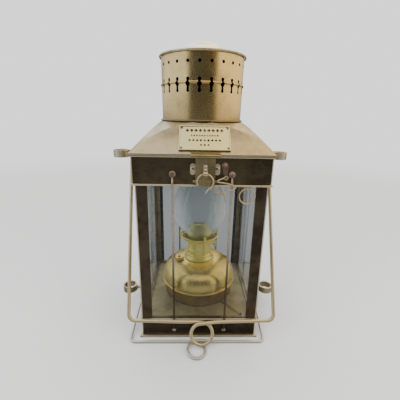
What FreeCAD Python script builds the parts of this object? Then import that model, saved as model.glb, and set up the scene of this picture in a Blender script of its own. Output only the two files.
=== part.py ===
import FreeCAD, Part
import math
import os

# Ship lantern: a square brass lantern with four glass panes, a hinged hood that carries the round
# chimney, an oil lamp inside, and two wire bails.  Millimetres, +Z up, the front faces -Y.
# The origin is the centre of the flat underside of the base.

V = FreeCAD.Vector
ORIGIN = V(0, 0, 0)
AXIS_X = V(1, 0, 0)
AXIS_Y = V(0, 1, 0)
AXIS_Z = V(0, 0, 1)
FRONT = V(0, -1, 0)

# ---- driving dimensions: body ---------------------------------------------------------------
BODY_HALF = 95.0            # centre to the outer face of the corner posts
SHEET = 1.2                 # sheet brass of the base and band
POST_WIDTH = 17.6
POST_SHEET = 1.5
BASE_HALF = 94.5
BASE_HEIGHT = 33.6
FLANGE_HALF = 97.0
FLANGE_TOP = 36.4
FLANGE_INNER_HALF = 87.0
FLOOR_SHEET = 1.0
FOOT_RIM_HALF = 98.4
FOOT_RIM_HEIGHT = 3.2
BAND_HALF = 98.0
BAND_BOTTOM = 266.0
BAND_TOP = 303.6
BEAD_HALF = 99.6
BEAD_BOTTOM = 263.4
RIM_HALF = 99.8
RIM_TOP = 305.6
PANE_OUTER = BODY_HALF - POST_SHEET
PANE_THICKNESS = 2.0
PANE_TOP = 274.6
PANE_GAP = 0.2              # play around each pane
AIR_HOLE_RADIUS = 1.4
AIR_HOLE_HEIGHT = 7.8
AIR_HOLE_PLACES = (54.5, 73.0)

# ---- guard rods -------------------------------------------------------------------------------
ROD_OFFSET = 41.5           # rods stand this far either side of each face's middle
ROD_RADIUS = 1.6
ROD_TOP_SCREW = 281.0
ROD_FOOT_RIVET = 13.0
SCREW_SHANK = 1.5
RIVET_SHANK = 1.1
HOLE_PLAY = 0.05

# ---- guide lugs and bails ---------------------------------------------------------------------
LUG_CENTRE = 135.0          # centre of each guide eye from the middle plane
LUG_OUTER = 13.0
LUG_INNER = 10.5
LUG_HEIGHT = 12.0
NECK_RADIUS = 3.4
LUG_RIVET_Y = 11.0          # rivets this far either side of the neck
UPPER_PIVOT = 295.0
LOWER_PIVOT = 30.0
UPPER_BAIL_HALF = 117.0
UPPER_BAIL_CORNERS = (-113.2, 120.8)     # x of the bent wire's two bottom corners
UPPER_BAIL_WIRE = 2.8
UPPER_BAIL_REST = (-107.6, 42.9)    # y and z of the bottom wire where it leans on the base
UPPER_BAIL_BEND = 10.0
UPPER_LOOP_RADIUS = 17.2
UPPER_LOOP_SHIFT = 4.2
UPPER_BAIL_SAG = 2.0         # how far the bar has bent down at its ring
LOWER_BAIL_HALF = 107.0
LOWER_BAIL_CORNERS = (-112.8, 107.2)
LOWER_BAIL_WIRE = 2.0
LOWER_BAIL_REST = (-110.0, 2.05)    # y and z of the front wire where it lies on the table
LOWER_BAIL_BEND = 8.0
LOWER_LOOP_RADIUS = 13.8
LOWER_LOOP_STRETCH = 1.12    # the lower ring is drawn out into a slight oval
LOWER_LOOP_SHIFT = -4.3
PIVOT_PLAY = 0.05

# ---- hood, chimney and cap --------------------------------------------------------------------
LIP_HALF = 101.4
LIP_BOTTOM = 306.0
LIP_TOP = 309.0
HOOD_HALF = 100.4
HOOD_TOP = 350.0
HOOD_TOP_HALF = 63.6        # centre to each flat slope at the chimney
HOOD_CORNER_RADIUS = 140.0  # centre to the rounded corners at the lip
HOOD_BULGE = (108.3, 329.5)     # radius and height half way up the rounded corners
HOOD_SHEET = 1.0
CHIMNEY_FOOT_RADIUS = 63.2
CHIMNEY_HEAD_RADIUS = 64.2
CHIMNEY_TOP = 441.0
CHIMNEY_SHEET = 1.0
CHIMNEY_BEAD = 402.3
BEAD_REACH = 2.0
VENT_LOBES = ((406.8, 2.5), (400.4, 3.3), (391.6, 2.3))     # height and radius of each slot's lobes
VENT_SLOT_HALF = 1.8
VENT_COUNT = 24
VENT_TURN = -5.0            # degrees from straight ahead to the vent nearest the front
VENT_HOLE_HEIGHT = 429.3
VENT_HOLE_RADIUS = 2.3
CAP_RIM_RADIUS = 65.9
CAP_RIM_WIRE = 1.6
CAP_RIM_HEIGHT = 442.4
CAP_TOP = 463.2             # underside of the dome's crown
CAP_SHEET = 1.0
BAFFLE_RADIUS = 50.0
BAFFLE_BOTTOM = 384.0
BAFFLE_TOP = 436.0
SLOPE_UP = V(0, HOOD_HALF - HOOD_TOP_HALF, HOOD_TOP - LIP_TOP).normalize()
SLOPE_OUT = V(0, -SLOPE_UP.z, SLOPE_UP.y)

# ---- nameplate, clasp and small fittings --------------------------------------------------------
PLATE_CENTRE_X = 2.6
PLATE_WIDTH = 71.0
PLATE_HEIGHT = 41.0
PLATE_THICKNESS = 1.2
PLATE_STANDOFF = 1.0
PLATE_UP_SLOPE = 25.0       # middle of the plate, measured up the slope from the lip
PLATE_BORDER = 1.3
PLATE_RIVET_INSET = 3.6
PLATE_RELIEF = 0.8           # height of the border above the field
NAMEPLATE_RIVET_X = [PLATE_CENTRE_X + s * (PLATE_WIDTH / 2 - PLATE_RIVET_INSET) for s in (-1, 1)]
NAMEPLATE_RIVET_UP = [PLATE_UP_SLOPE + s * (PLATE_HEIGHT / 2 - PLATE_RIVET_INSET) for s in (-1, 1)]
# rows of lozenges: offset up the plate, count, pitch, half width, half height
PLATE_ROWS = (
    (12.5, 9, 6.0, 2.4, 2.9),
    (3.8, 11, 3.6, 1.3, 1.3),
    (-4.2, 9, 5.2, 1.9, 1.9),
    (-12.0, 3, 5.0, 1.6, 1.7),
)
HASP_X = 4.0
HASP_WIDTH = 27.4
HASP_HINGE = (-104.4, 306.5)
HASP_KNUCKLE = 2.8
HASP_PIN = 1.2
HASP_BOTTOM = 264.2
HASP_BACK = -101.6
HASP_SHEET = 1.5
HASP_EAR = 6.0              # width of each fixed knuckle
HASP_ROLL = (-102.2, 271.6)     # y and z of the bar rolled into the lower end
HASP_ROLL_RADIUS = 2.1
HASP_ROLL_LENGTH = 32.8
KEEPER_HOLE = (-105.6, 282.5)
KEEPER_HALF = 3.1
KEEPER_TOP = 295.2
KEEPER_RIVETS = (292.6, 287.8)
HASP_RING_RADIUS = 11.2
HASP_RING_WIRE = 1.15
EYE_PLACES = (-13.4, 20.6)
EYE_HEIGHT = 288.0
EYE_SCREW_HEIGHT = 288.6
PULL_RING_PIVOT = (64.5, -97.6, 260.5)
REAR_HINGE = (104.6, 305.8)
REAR_KNUCKLE = 3.0
REAR_PIN = 1.5
REAR_HINGE_WIDTH = 60.0
REAR_RIVET_PLACES = (-20.0, 20.0)
REAR_RIVET_HEIGHT = 288.0
HINGE_LEAF_RIVETS = (-22.0, 0.0, 22.0)
HINGE_LEAF_RIVET_UP = 14.0
HINGE_LEAF_SHEET = 1.2
KNUCKLE_GAP = 0.3
TAG = (30.9, 293.4)
TAG_EYE = (33.0, 276.5)
TAG_SHEET = 1.5
TAG_STUD = 1.5
TAG_STUD_HEAD = 2.3
HAIR_PIN_WIRE = 0.95
PULL_RING_RADIUS = 11.2
PULL_RING_WIRE = 1.05

# ---- oil lamp ------------------------------------------------------------------------------------
LAMP_SHEET = 1.0
FONT_RADIUS = 68.6
FONT_RIM_HEIGHT = 60.5
FONT_TOP = 101.0
COLLAR_RADIUS = 21.0
GALLERY_BOTTOM = 136.0
GALLERY_TOP = 148.0
WICK_HALF_WIDTH = 8.0
WICK_HALF_THICKNESS = 1.2
WICK_BOTTOM = 80.0
WICK_TOP = 169.5
TUBE_HALF_X = WICK_HALF_WIDTH + 1.1
TUBE_HALF_Y = WICK_HALF_THICKNESS + 1.0
TUBE_BOTTOM = 112.0
TUBE_TOP = 164.5
SPINDLE_Y = 4.2
SPINDLE_HEIGHT = 124.0
SPINDLE_RADIUS = 1.3
KNOB_RADIUS = 9.0
KNOB_START = 29.0
FILLER = (-37.0, -12.0)
FILLER_NECK = 6.0
FILLER_CAP_BOTTOM = 101.2
STRAP_TURN = -49.0          # direction of the first hold-down strip, from +X
STRAP_SCREW = 108.2         # distance of its screw from the middle


# ---- helpers -------------------------------------------------------------------------------------
def box(x0, x1, y0, y1, z0, z1):
    return Part.makeBox(x1 - x0, y1 - y0, z1 - z0, V(x0, y0, z0))


def cylinder(start, direction, radius, length):
    return Part.makeCylinder(radius, length, start, direction)


def fuse(first, *others):
    result = first.fuse(list(others))
    return result.removeSplitter()


def slab(half, z0, z1):
    return box(-half, half, -half, half, z0, z1)


def square_ring(outer, inner, z0, z1, rounding=0.0):
    body = slab(outer, z0, z1)
    if rounding:
        long_edges = [e for e in body.Edges if abs(e.tangentAt(e.FirstParameter).z) < 0.5]
        body = body.makeFillet(rounding, long_edges)
    return body.cut(slab(inner, z0 - 1, z1 + 1))


def turn(shape, degrees, centre=ORIGIN, axis=AXIS_Z):
    copy = shape.copy()
    copy.rotate(centre, axis, degrees)
    return copy


def round_the_body(shape):
    return [turn(shape, 90 * k) for k in range(4)]


def face_of(points):
    return Part.Face(Part.makePolygon([V(*p) for p in points] + [V(*points[0])]))


def lathe(edges):
    """Solid of revolution about Z from edges that close in the XZ plane."""
    return Part.Face(Part.Wire(edges)).revolve(ORIGIN, AXIS_Z, 360)


def lathe_outline(points):
    corners = [V(r, 0, z) for r, z in points]
    closed = corners + [corners[0]]
    return lathe([Part.makeLine(a, b) for a, b in zip(closed, closed[1:])])


def smooth_shell(points, thickness):
    """Thin spun shell whose outer side is a smooth curve through (radius, height) points."""
    outer = Part.BSplineCurve()
    outer.interpolate([V(r, 0, z) for r, z in points])
    inner_points = []
    first, last = outer.FirstParameter, outer.LastParameter
    for r, z in points:
        u = outer.parameter(V(r, 0, z))
        along = outer.tangent(u)[0]
        side = V(-along.z, 0, along.x)
        inner_points.append(V(r, 0, z) + side * thickness)
    inner = Part.BSplineCurve()
    inner.interpolate(inner_points)
    edges = [
        outer.toShape(first, last),
        Part.makeLine(V(points[-1][0], 0, points[-1][1]), inner_points[-1]),
        inner.toShape(),
        Part.makeLine(inner_points[0], V(points[0][0], 0, points[0][1])),
    ]
    return lathe(edges)


def place(shape, position, direction):
    """Moves a shape made along +Z from the origin so that it starts at position along direction."""
    copy = shape.copy()
    copy.Placement = FreeCAD.Placement(V(*position), FreeCAD.Rotation(AXIS_Z, direction))
    return copy


def dome_head(radius, height):
    """Cap of a ball standing on the XY plane."""
    ball_radius = (radius * radius + height * height) / (2 * height)
    ball = Part.makeSphere(ball_radius, V(0, 0, height - ball_radius))
    return ball.common(cylinder(ORIGIN, AXIS_Z, radius + 1, height + 1))


def fastener(position, outward, head_radius, head_height, shank_radius, shank_length, slot=False):
    """Dome head standing outward from position, with its shank running inward."""
    head = dome_head(head_radius, head_height)
    if slot:
        half = 0.4
        cutter = box(-head_radius, head_radius, -half, half, head_height * 0.55, head_height + 1)
        head = head.cut(cutter)
    shank = cylinder(V(0, 0, -shank_length), AXIS_Z, shank_radius, shank_length)
    return place(fuse(head, shank), position, outward)


def circle_profile(start, direction, radius):
    return Part.Wire(Part.makeCircle(radius, start, direction))


def wire_rod(edges, radius):
    """Round rod of the given radius along joined edges."""
    path = Part.Wire(edges)
    first = path.OrderedEdges[0]
    start = first.valueAt(first.FirstParameter)
    heading = first.tangentAt(first.FirstParameter)
    rod = path.makePipeShell([circle_profile(start, heading, radius)], True, False)
    return Part.Solid(Part.Shell(rod.Faces))


def bent_path(points, bend):
    """Straight runs through the points with an arc of radius bend at each corner."""
    corners = [V(*p) for p in points]
    edges = []
    start = corners[0]
    for before, corner, after in zip(corners, corners[1:], corners[2:]):
        incoming = (corner - before).normalize()
        outgoing = (after - corner).normalize()
        angle = incoming.getAngle(outgoing)
        setback = bend * math.tan(angle / 2)
        arc_start = corner - incoming * setback
        arc_end = corner + outgoing * setback
        towards_centre = (outgoing - incoming).normalize()
        middle = corner + towards_centre * (bend / math.cos(angle / 2) - bend)
        edges.append(Part.makeLine(start, arc_start))
        edges.append(Part.Arc(arc_start, middle, arc_end).toShape())
        start = arc_end
    edges.append(Part.makeLine(start, corners[-1]))
    return edges


def smooth_path(points, start_heading=None, end_heading=None):
    curve = Part.BSplineCurve()
    if start_heading:
        curve.interpolate(Points=points, InitialTangent=start_heading, FinalTangent=end_heading)
    else:
        curve.interpolate(points)
    return curve.toShape()


def save(name, *solids):
    shape = solids[0] if len(solids) == 1 else Part.makeCompound(list(solids))
    shape.exportStep("parts/" + name + ".step")


# ---- base ----------------------------------------------------------------------------------------
def side_holes(z, places, radius, depth=12.0):
    """Cutters for round holes through all four sides at the given distances from the middle."""
    cutters = []
    for x in places:
        cutters += round_the_body(cylinder(V(x, -BODY_HALF - 6, z), AXIS_Y, radius, depth))
    return cutters


def lug_rivet_places(pivot):
    if pivot == UPPER_PIVOT:
        return BAND_HALF, UPPER_PIVOT - 4.0
    return BASE_HALF, LOWER_PIVOT - 6.0


def lug_rivet_holes(pivot):
    wall, z = lug_rivet_places(pivot)
    radius = SCREW_SHANK + HOLE_PLAY
    return [
        cylinder(V(side * (wall - 4), y, z), AXIS_X * side, radius, 12)
        for side in (-1, 1)
        for y in (-LUG_RIVET_Y, LUG_RIVET_Y)
    ]


def base_tray():
    tray = slab(BASE_HALF, 0, BASE_HEIGHT).cut(
        slab(BASE_HALF - SHEET, SHEET, BASE_HEIGHT + 1)
    )
    air = side_holes(
        AIR_HOLE_HEIGHT,
        [s * x for x in AIR_HOLE_PLACES for s in (-1, 1)],
        AIR_HOLE_RADIUS,
    )
    rivets = side_holes(ROD_FOOT_RIVET, (-ROD_OFFSET, ROD_OFFSET), SCREW_SHANK + HOLE_PLAY)
    tray = tray.cut(air + rivets + lug_rivet_holes(LOWER_PIVOT))
    return tray.fuse(square_ring(FOOT_RIM_HALF, BASE_HALF, 0, FOOT_RIM_HEIGHT, 0.7))


def base_flange():
    return square_ring(FLANGE_HALF, FLANGE_INNER_HALF, BASE_HEIGHT, FLANGE_TOP, 0.9)


def floor_plate():
    return slab(BASE_HALF - SHEET - HOLE_PLAY, BASE_HEIGHT - FLOOR_SHEET, BASE_HEIGHT)


# ---- posts, panes and band -----------------------------------------------------------------------
def corner_posts():
    """Four equal angle posts, one in each corner."""
    outer, inner, edge = BODY_HALF, BODY_HALF - POST_SHEET, BODY_HALF - POST_WIDTH
    post = fuse(
        box(edge, outer, inner, outer, FLANGE_TOP, BAND_TOP),
        box(inner, outer, edge, outer, FLANGE_TOP, BAND_TOP),
    )
    return round_the_body(post)


def glass_pane(quarter):
    half = PANE_OUTER - PANE_THICKNESS - PANE_GAP
    pane = box(-half, half, -PANE_OUTER, -PANE_OUTER + PANE_THICKNESS, FLANGE_TOP, PANE_TOP)
    upright = [e for e in pane.Edges if abs(e.tangentAt(e.FirstParameter).z) > 0.5]
    return turn(pane.makeFillet(0.5, upright), 90 * quarter)


def corner_strips():
    """Small angle strips that hold the panes against the posts."""
    outer = PANE_OUTER - PANE_THICKNESS - 0.05
    leg = 8.0
    strip = box(outer - leg, outer, outer - 1.0, outer, FLANGE_TOP, BEAD_BOTTOM)
    strip = fuse(strip, box(outer - 1.0, outer, outer - leg, outer, FLANGE_TOP, BEAD_BOTTOM))
    return round_the_body(strip)


def pane_head_rail():
    """Angle rail that runs round behind and over the panes' top edges."""
    inner = PANE_OUTER - PANE_THICKNESS - 1.35
    leg = square_ring(inner + 1.2, inner, BAND_BOTTOM, PANE_TOP + 1.4)
    top = square_ring(PANE_OUTER - 0.05, inner, PANE_TOP + 0.2, PANE_TOP + 1.4)
    return fuse(leg, top)


def top_band():
    lip_inner = BODY_HALF + 0.02
    band = slab(BAND_HALF, BAND_BOTTOM, BAND_TOP)
    band = band.cut(slab(BAND_HALF - SHEET, BAND_BOTTOM + SHEET, BAND_TOP - SHEET))
    band = band.cut(slab(lip_inner, BAND_BOTTOM - 1, BAND_TOP + 1))
    radius = SCREW_SHANK + HOLE_PLAY
    cutters = side_holes(ROD_TOP_SCREW, (-ROD_OFFSET, ROD_OFFSET), radius)
    for x, z in [(TAG[0], TAG[1])] + [(x, EYE_SCREW_HEIGHT) for x in EYE_PLACES]:
        cutters.append(cylinder(V(x, -BAND_HALF - 3, z), AXIS_Y, radius, 6))
    for x in REAR_RIVET_PLACES:
        cutters.append(cylinder(V(x, BAND_HALF - 3, REAR_RIVET_HEIGHT), AXIS_Y, radius, 6))
    return band.cut(cutters + lug_rivet_holes(UPPER_PIVOT))


def band_bead():
    return square_ring(BEAD_HALF, BODY_HALF + 0.02, BEAD_BOTTOM, BAND_BOTTOM, 0.9)


def band_rim():
    return square_ring(RIM_HALF, BODY_HALF - 5, BAND_TOP, RIM_TOP, 0.6)


# ---- guard rods ----------------------------------------------------------------------------------
def guard_rod(x):
    """Rod on the front face, with a flat eyelet at each end, standing clear of flange and bead."""
    front = -BAND_HALF
    path = bent_path(
        [
            (x, front - 1.75, ROD_TOP_SCREW - 3.8),
            (x, front - 1.75, ROD_TOP_SCREW - 6.6),
            (x, -BEAD_HALF - ROD_RADIUS - 0.2, BAND_BOTTOM + 3.0),
            (x, -BEAD_HALF - ROD_RADIUS - 0.2, BEAD_BOTTOM - 4.0),
            (x, -FLANGE_HALF - ROD_RADIUS - 0.2, FLANGE_TOP + 6.0),
            (x, -FLANGE_HALF - ROD_RADIUS - 0.2, BASE_HEIGHT - 3.0),
            (x, -BASE_HALF - ROD_RADIUS - 0.1, ROD_FOOT_RIVET + 9.0),
            (x, -BASE_HALF - ROD_RADIUS - 0.1, ROD_FOOT_RIVET + 3.0),
        ],
        2.0,
    )
    rod = wire_rod(path, ROD_RADIUS)
    top_eyelet = cylinder(V(x, front - 0.05, ROD_TOP_SCREW), FRONT, 4.6, 1.6)
    foot_eyelet = cylinder(V(x, -BASE_HALF - 0.05, ROD_FOOT_RIVET), FRONT, 3.9, 1.4)
    rod = fuse(rod, top_eyelet, foot_eyelet)
    radius = SCREW_SHANK + HOLE_PLAY
    holes = [
        cylinder(V(x, -BODY_HALF + 2, z), FRONT, radius, 12)
        for z in (ROD_TOP_SCREW, ROD_FOOT_RIVET)
    ]
    return rod.cut(holes)


def guard_rods():
    return round_the_body(guard_rod(-ROD_OFFSET)) + round_the_body(guard_rod(ROD_OFFSET))


def rod_screws():
    screws = []
    for x in (-ROD_OFFSET, ROD_OFFSET):
        screw = fastener(
            (x, -BAND_HALF - 1.65, ROD_TOP_SCREW), FRONT, 3.5, 2.4, SCREW_SHANK, 2.9, slot=True
        )
        screws += round_the_body(screw)
    return screws


def rod_rivets():
    rivets = []
    for x in (-ROD_OFFSET, ROD_OFFSET):
        rivet = fastener(
            (x, -BASE_HALF - 1.45, ROD_FOOT_RIVET), FRONT, 2.8, 1.4, SCREW_SHANK, 2.9
        )
        rivets += round_the_body(rivet)
    return rivets


# ---- guide lugs ----------------------------------------------------------------------------------
def guide_lug(pivot, side):
    """Strap bent round into a vertical guide eye, on a round neck with a riveted pad."""
    wall, rivet_z = lug_rivet_places(pivot)
    pad_thickness = 2.0
    pad_high = pivot + 8 if pivot == UPPER_PIVOT else pivot + 3.5
    pad = box(wall + 0.02, wall + pad_thickness, -16, 16, pivot - 11, pad_high)
    corners = [e for e in pad.Edges if abs(e.tangentAt(e.FirstParameter).x) > 0.5]
    pad = pad.makeFillet(3.0, corners)
    neck = cylinder(V(wall + 1, 0, pivot), AXIS_X, NECK_RADIUS, LUG_CENTRE - LUG_OUTER - wall + 1)
    half_height = LUG_HEIGHT / 2
    strap_start = LUG_CENTRE - LUG_OUTER - 1.0
    strap = box(
        strap_start, LUG_CENTRE - LUG_INNER + 1, -3.4, 3.4, pivot - half_height, pivot + half_height
    )
    eye = cylinder(V(LUG_CENTRE, 0, pivot - half_height), AXIS_Z, LUG_OUTER, LUG_HEIGHT)
    hole = cylinder(V(LUG_CENTRE, 0, pivot - half_height - 1), AXIS_Z, LUG_INNER, LUG_HEIGHT + 2)
    lug = fuse(pad, neck, strap, eye).cut(hole)
    radius = SCREW_SHANK + HOLE_PLAY
    for y in (-LUG_RIVET_Y, LUG_RIVET_Y):
        lug = lug.cut(cylinder(V(wall - 2, y, rivet_z), AXIS_X, radius, 8))
    return lug if side > 0 else turn(lug, 180)


def lug_rivets():
    rivets = []
    for pivot in (UPPER_PIVOT, LOWER_PIVOT):
        wall, z = lug_rivet_places(pivot)
        for side in (-1, 1):
            for y in (-LUG_RIVET_Y, LUG_RIVET_Y):
                outer_face = side * (wall + 2.0)
                rivets.append(
                    fastener((outer_face, y, z), AXIS_X * side, 2.8, 1.5, SCREW_SHANK, 3.4)
                )
    return rivets


# ---- bails ---------------------------------------------------------------------------------------
def bail_frame(pivot_z, rest):
    """Unit vector down the leg, outward unit normal of the bail's plane, and the leg's length."""
    leg = V(0, rest[0], rest[1] - pivot_z)
    length = leg.Length
    down = leg.normalize()
    normal = AXIS_X.cross(down)
    return down, normal, length


def bail(pivot_z, half, corners, wire, rest, bend, coil_points, coil_reach, coil_x, sag, eye_width):
    """U-shaped wire bail with a coiled ring in its middle and an eye on each neck."""
    down, normal, length = bail_frame(pivot_z, rest)
    pivot = V(0, 0, pivot_z)

    def at(x, along, out=0.0):
        return pivot + AXIS_X * x + down * along + normal * out

    eye_outer = NECK_RADIUS + PIVOT_PLAY + 1.1 * wire
    leg_start = NECK_RADIUS + 0.6 * wire
    left, right = (at(x, length) for x in corners)
    coil_right = at(coil_x + coil_reach, length + sag)
    coil_left = at(coil_x - coil_reach, length + sag)
    coil = [at(coil_x + x, length + sag + along, out) for x, along, out in coil_points]
    edges = bent_path([at(half, leg_start), right, coil_right], bend)
    inward = (coil_right - right).normalize()
    outward = (left - coil_left).normalize()
    edges.append(smooth_path([coil_right] + coil + [coil_left], inward, outward))
    edges += bent_path([coil_left, left, at(-half, leg_start)], bend)
    solid = wire_rod(edges, wire)
    for side in (-1, 1):
        centre = V(side * half - eye_width / 2, 0, pivot_z)
        solid = solid.fuse(cylinder(centre, AXIS_X, eye_outer, eye_width))
    bore = cylinder(
        V(-half - eye_width, 0, pivot_z), AXIS_X, NECK_RADIUS + PIVOT_PLAY, 2 * half + 2 * eye_width
    )
    return solid.cut(bore)


def flat_coil(radius, dip, start_lift, end_lift):
    """One turn of wire below the bail's straight, its two ends passing side by side.

    Each point is (across, beyond the straight, out of the bail's plane)."""
    points = [(radius * 0.75, dip * 0.35, start_lift * 0.8)]
    steps = 12
    for k in range(steps + 1):
        a = 2 * math.pi * k / steps
        out = end_lift + (start_lift - end_lift) * (1 - k / steps) ** 2
        points.append((-radius * math.sin(a), dip + radius - radius * math.cos(a), out))
    points.append((-radius * 0.75, dip * 0.35, end_lift * 0.8))
    return points


def upper_bail():
    lift = UPPER_BAIL_WIRE + 0.25
    return bail(
        UPPER_PIVOT, UPPER_BAIL_HALF, UPPER_BAIL_CORNERS, UPPER_BAIL_WIRE, UPPER_BAIL_REST,
        UPPER_BAIL_BEND, flat_coil(UPPER_LOOP_RADIUS, 2.0, -lift, lift), 2 * UPPER_LOOP_RADIUS,
        UPPER_LOOP_SHIFT, UPPER_BAIL_SAG, 5.6,
    )


def lower_coil():
    """The lower ring is bent up out of the bail's plane so that it lies level on the table."""
    down = bail_frame(LOWER_PIVOT, LOWER_BAIL_REST)[0]
    tilt = math.asin(-down.z)
    points = []
    for x, reach, rise in flat_coil(LOWER_LOOP_RADIUS, 2.0, 2 * LOWER_BAIL_WIRE + 0.4, 0.0):
        level = reach * LOWER_LOOP_STRETCH
        along = level * math.cos(tilt) - rise * math.sin(tilt)
        out = -level * math.sin(tilt) - rise * math.cos(tilt)
        points.append((x, along, out))
    return points


def lower_bail():
    return bail(
        LOWER_PIVOT, LOWER_BAIL_HALF, LOWER_BAIL_CORNERS, LOWER_BAIL_WIRE, LOWER_BAIL_REST,
        LOWER_BAIL_BEND, lower_coil(), 2 * LOWER_LOOP_RADIUS, LOWER_LOOP_SHIFT, 0.0, 4.4,
    )


# ---- hood ----------------------------------------------------------------------------------------
def hood_block(inset, overrun):
    """Four flat slopes whose corners are rounded off by a turned crown: square below, round above.

    The block is inset from the hood's outer face and runs on past its ends by overrun."""
    run = (HOOD_HALF - HOOD_TOP_HALF) / (HOOD_TOP - LIP_TOP) * overrun
    low, high = LIP_TOP - overrun, HOOD_TOP + overrun
    squares = []
    for half, z in ((HOOD_HALF - inset + run, low), (HOOD_TOP_HALF - inset - run, high)):
        corners = [V(-half, -half, z), V(half, -half, z), V(half, half, z), V(-half, half, z)]
        squares.append(Part.makePolygon(corners + [corners[0]]))
    slopes = Part.makeLoft(squares, True, True)
    foot = V(HOOD_CORNER_RADIUS - inset, 0, LIP_TOP)
    bulge = V(HOOD_BULGE[0] - inset, 0, HOOD_BULGE[1])
    head = V(CHIMNEY_FOOT_RADIUS - inset, 0, HOOD_TOP)
    line = [foot, V(foot.x, 0, low), V(0, 0, low), V(0, 0, high), V(head.x, 0, high), head]
    edges = [Part.makeLine(a, b) for a, b in zip(line, line[1:]) if a.distanceToPoint(b) > 0]
    crown = lathe([Part.Arc(head, bulge, foot).toShape()] + edges)
    return slopes.common(crown)


def hood_shell():
    """Sheet hood with holes for the rivets of the nameplate and the hinge leaf."""
    radius = RIVET_SHANK + HOLE_PLAY
    holes = []
    for x in NAMEPLATE_RIVET_X:
        for up in NAMEPLATE_RIVET_UP:
            holes.append(cylinder(slope_point(x, up, -4), SLOPE_OUT, radius, 8))
    for x in HINGE_LEAF_RIVETS:
        start = turn_point(slope_point(x, HINGE_LEAF_RIVET_UP, -4))
        holes.append(cylinder(start, turn_point(SLOPE_OUT), radius, 8))
    return hood_block(0.0, 0.0).cut([hood_block(HOOD_SHEET, 1.0)] + holes)


def slope_point(x, up, out):
    """Point on the hood's front slope: across, up the slope from the lip, and out from it."""
    return V(x, -HOOD_HALF, LIP_TOP) + SLOPE_UP * up + SLOPE_OUT * out


def turn_point(p):
    return V(-p.x, -p.y, p.z)


def on_slope(shape):
    """Places a shape drawn flat (X across, Y up the slope, Z outward) on the front slope."""
    matrix = FreeCAD.Matrix(
        1, 0, 0, 0,
        0, SLOPE_UP.y, SLOPE_OUT.y, -HOOD_HALF,
        0, SLOPE_UP.z, SLOPE_OUT.z, LIP_TOP,
        0, 0, 0, 1,
    )
    copy = shape.copy()
    copy.Placement = FreeCAD.Placement(matrix)
    return copy


def hood_lip():
    return square_ring(LIP_HALF, LIP_HALF - 5.5, LIP_BOTTOM, LIP_TOP, 0.9)


def chimney_collar():
    """Small half-round ring in the corner between hood and chimney."""
    inner = CHIMNEY_FOOT_RADIUS + 0.15
    top = HOOD_TOP + 2.6
    foot_inner = V(inner, 0, HOOD_TOP)
    foot_outer = V(66.0, 0, HOOD_TOP)
    head_outer = V(64.2, 0, top)
    head_inner = V(inner, 0, top)
    edges = [
        Part.makeLine(foot_inner, foot_outer),
        Part.Arc(foot_outer, V(65.8, 0, HOOD_TOP + 1.8), head_outer).toShape(),
        Part.makeLine(head_outer, head_inner),
        Part.makeLine(head_inner, foot_inner),
    ]
    return lathe(edges)


def chimney_radius(z):
    t = (z - HOOD_TOP) / (CHIMNEY_TOP - HOOD_TOP)
    return CHIMNEY_FOOT_RADIUS + (CHIMNEY_HEAD_RADIUS - CHIMNEY_FOOT_RADIUS) * t


def vent_cutters():
    """Round holes above, and keyhole slots below that cross the bead."""
    reach = 14.0
    start = V(CHIMNEY_HEAD_RADIUS - reach / 2, 0, 0)
    hole = cylinder(start + V(0, 0, VENT_HOLE_HEIGHT), AXIS_X, VENT_HOLE_RADIUS, reach)
    lobes = [cylinder(start + V(0, 0, z), AXIS_X, radius, reach) for z, radius in VENT_LOBES]
    waist_low, waist_high = VENT_LOBES[2][0], VENT_LOBES[0][0]
    waist = box(start.x, start.x + reach, -VENT_SLOT_HALF, VENT_SLOT_HALF, waist_low, waist_high)
    slot = fuse(waist, *lobes)
    cutters = []
    for k in range(VENT_COUNT):
        angle = VENT_TURN - 90 + 360.0 / VENT_COUNT * k
        cutters += [turn(hole, angle), turn(slot, angle)]
    return cutters


def chimney_tube():
    """Slightly flared tube with a rolled bead, pierced by the vents."""
    tube = lathe_outline(
        [
            (CHIMNEY_FOOT_RADIUS - CHIMNEY_SHEET, HOOD_TOP),
            (CHIMNEY_FOOT_RADIUS, HOOD_TOP),
            (CHIMNEY_HEAD_RADIUS, CHIMNEY_TOP),
            (CHIMNEY_HEAD_RADIUS - CHIMNEY_SHEET, CHIMNEY_TOP),
        ]
    )
    radius = chimney_radius(CHIMNEY_BEAD) - 0.4
    low = V(radius, 0, CHIMNEY_BEAD - BEAD_REACH)
    high = V(radius, 0, CHIMNEY_BEAD + BEAD_REACH)
    crest = V(radius + BEAD_REACH, 0, CHIMNEY_BEAD)
    bead = lathe([Part.makeLine(low, high), Part.Arc(high, crest, low).toShape()])
    return tube.fuse(bead).cut(vent_cutters())


def cap_rim():
    return Part.makeTorus(CAP_RIM_RADIUS, CAP_RIM_WIRE, V(0, 0, CAP_RIM_HEIGHT), AXIS_Z)


def chimney_cap():
    """Spun cap: a shallow cone from the rim, swept up into a round dome."""
    z = CHIMNEY_TOP + 0.05
    outline = [
        (CHIMNEY_HEAD_RADIUS - 0.2, z), (54.0, z + 4.6), (42.0, z + 9.0), (34.0, z + 12.4),
        (26.0, z + 17.4), (14.0, z + 21.8), (0.0, CAP_TOP),
    ]
    curve = Part.BSplineCurve()
    curve.interpolate([V(r, 0, height) for r, height in outline])
    lower = curve.toShape()
    upper = curve.toShape()
    upper.translate(V(0, 0, CAP_SHEET))
    first, last = outline[0], outline[-1]
    edges = [
        lower,
        Part.makeLine(V(last[0], 0, last[1]), V(last[0], 0, last[1] + CAP_SHEET)),
        upper,
        Part.makeLine(V(first[0], 0, first[1] + CAP_SHEET), V(first[0], 0, first[1])),
    ]
    return lathe(edges)


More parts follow.
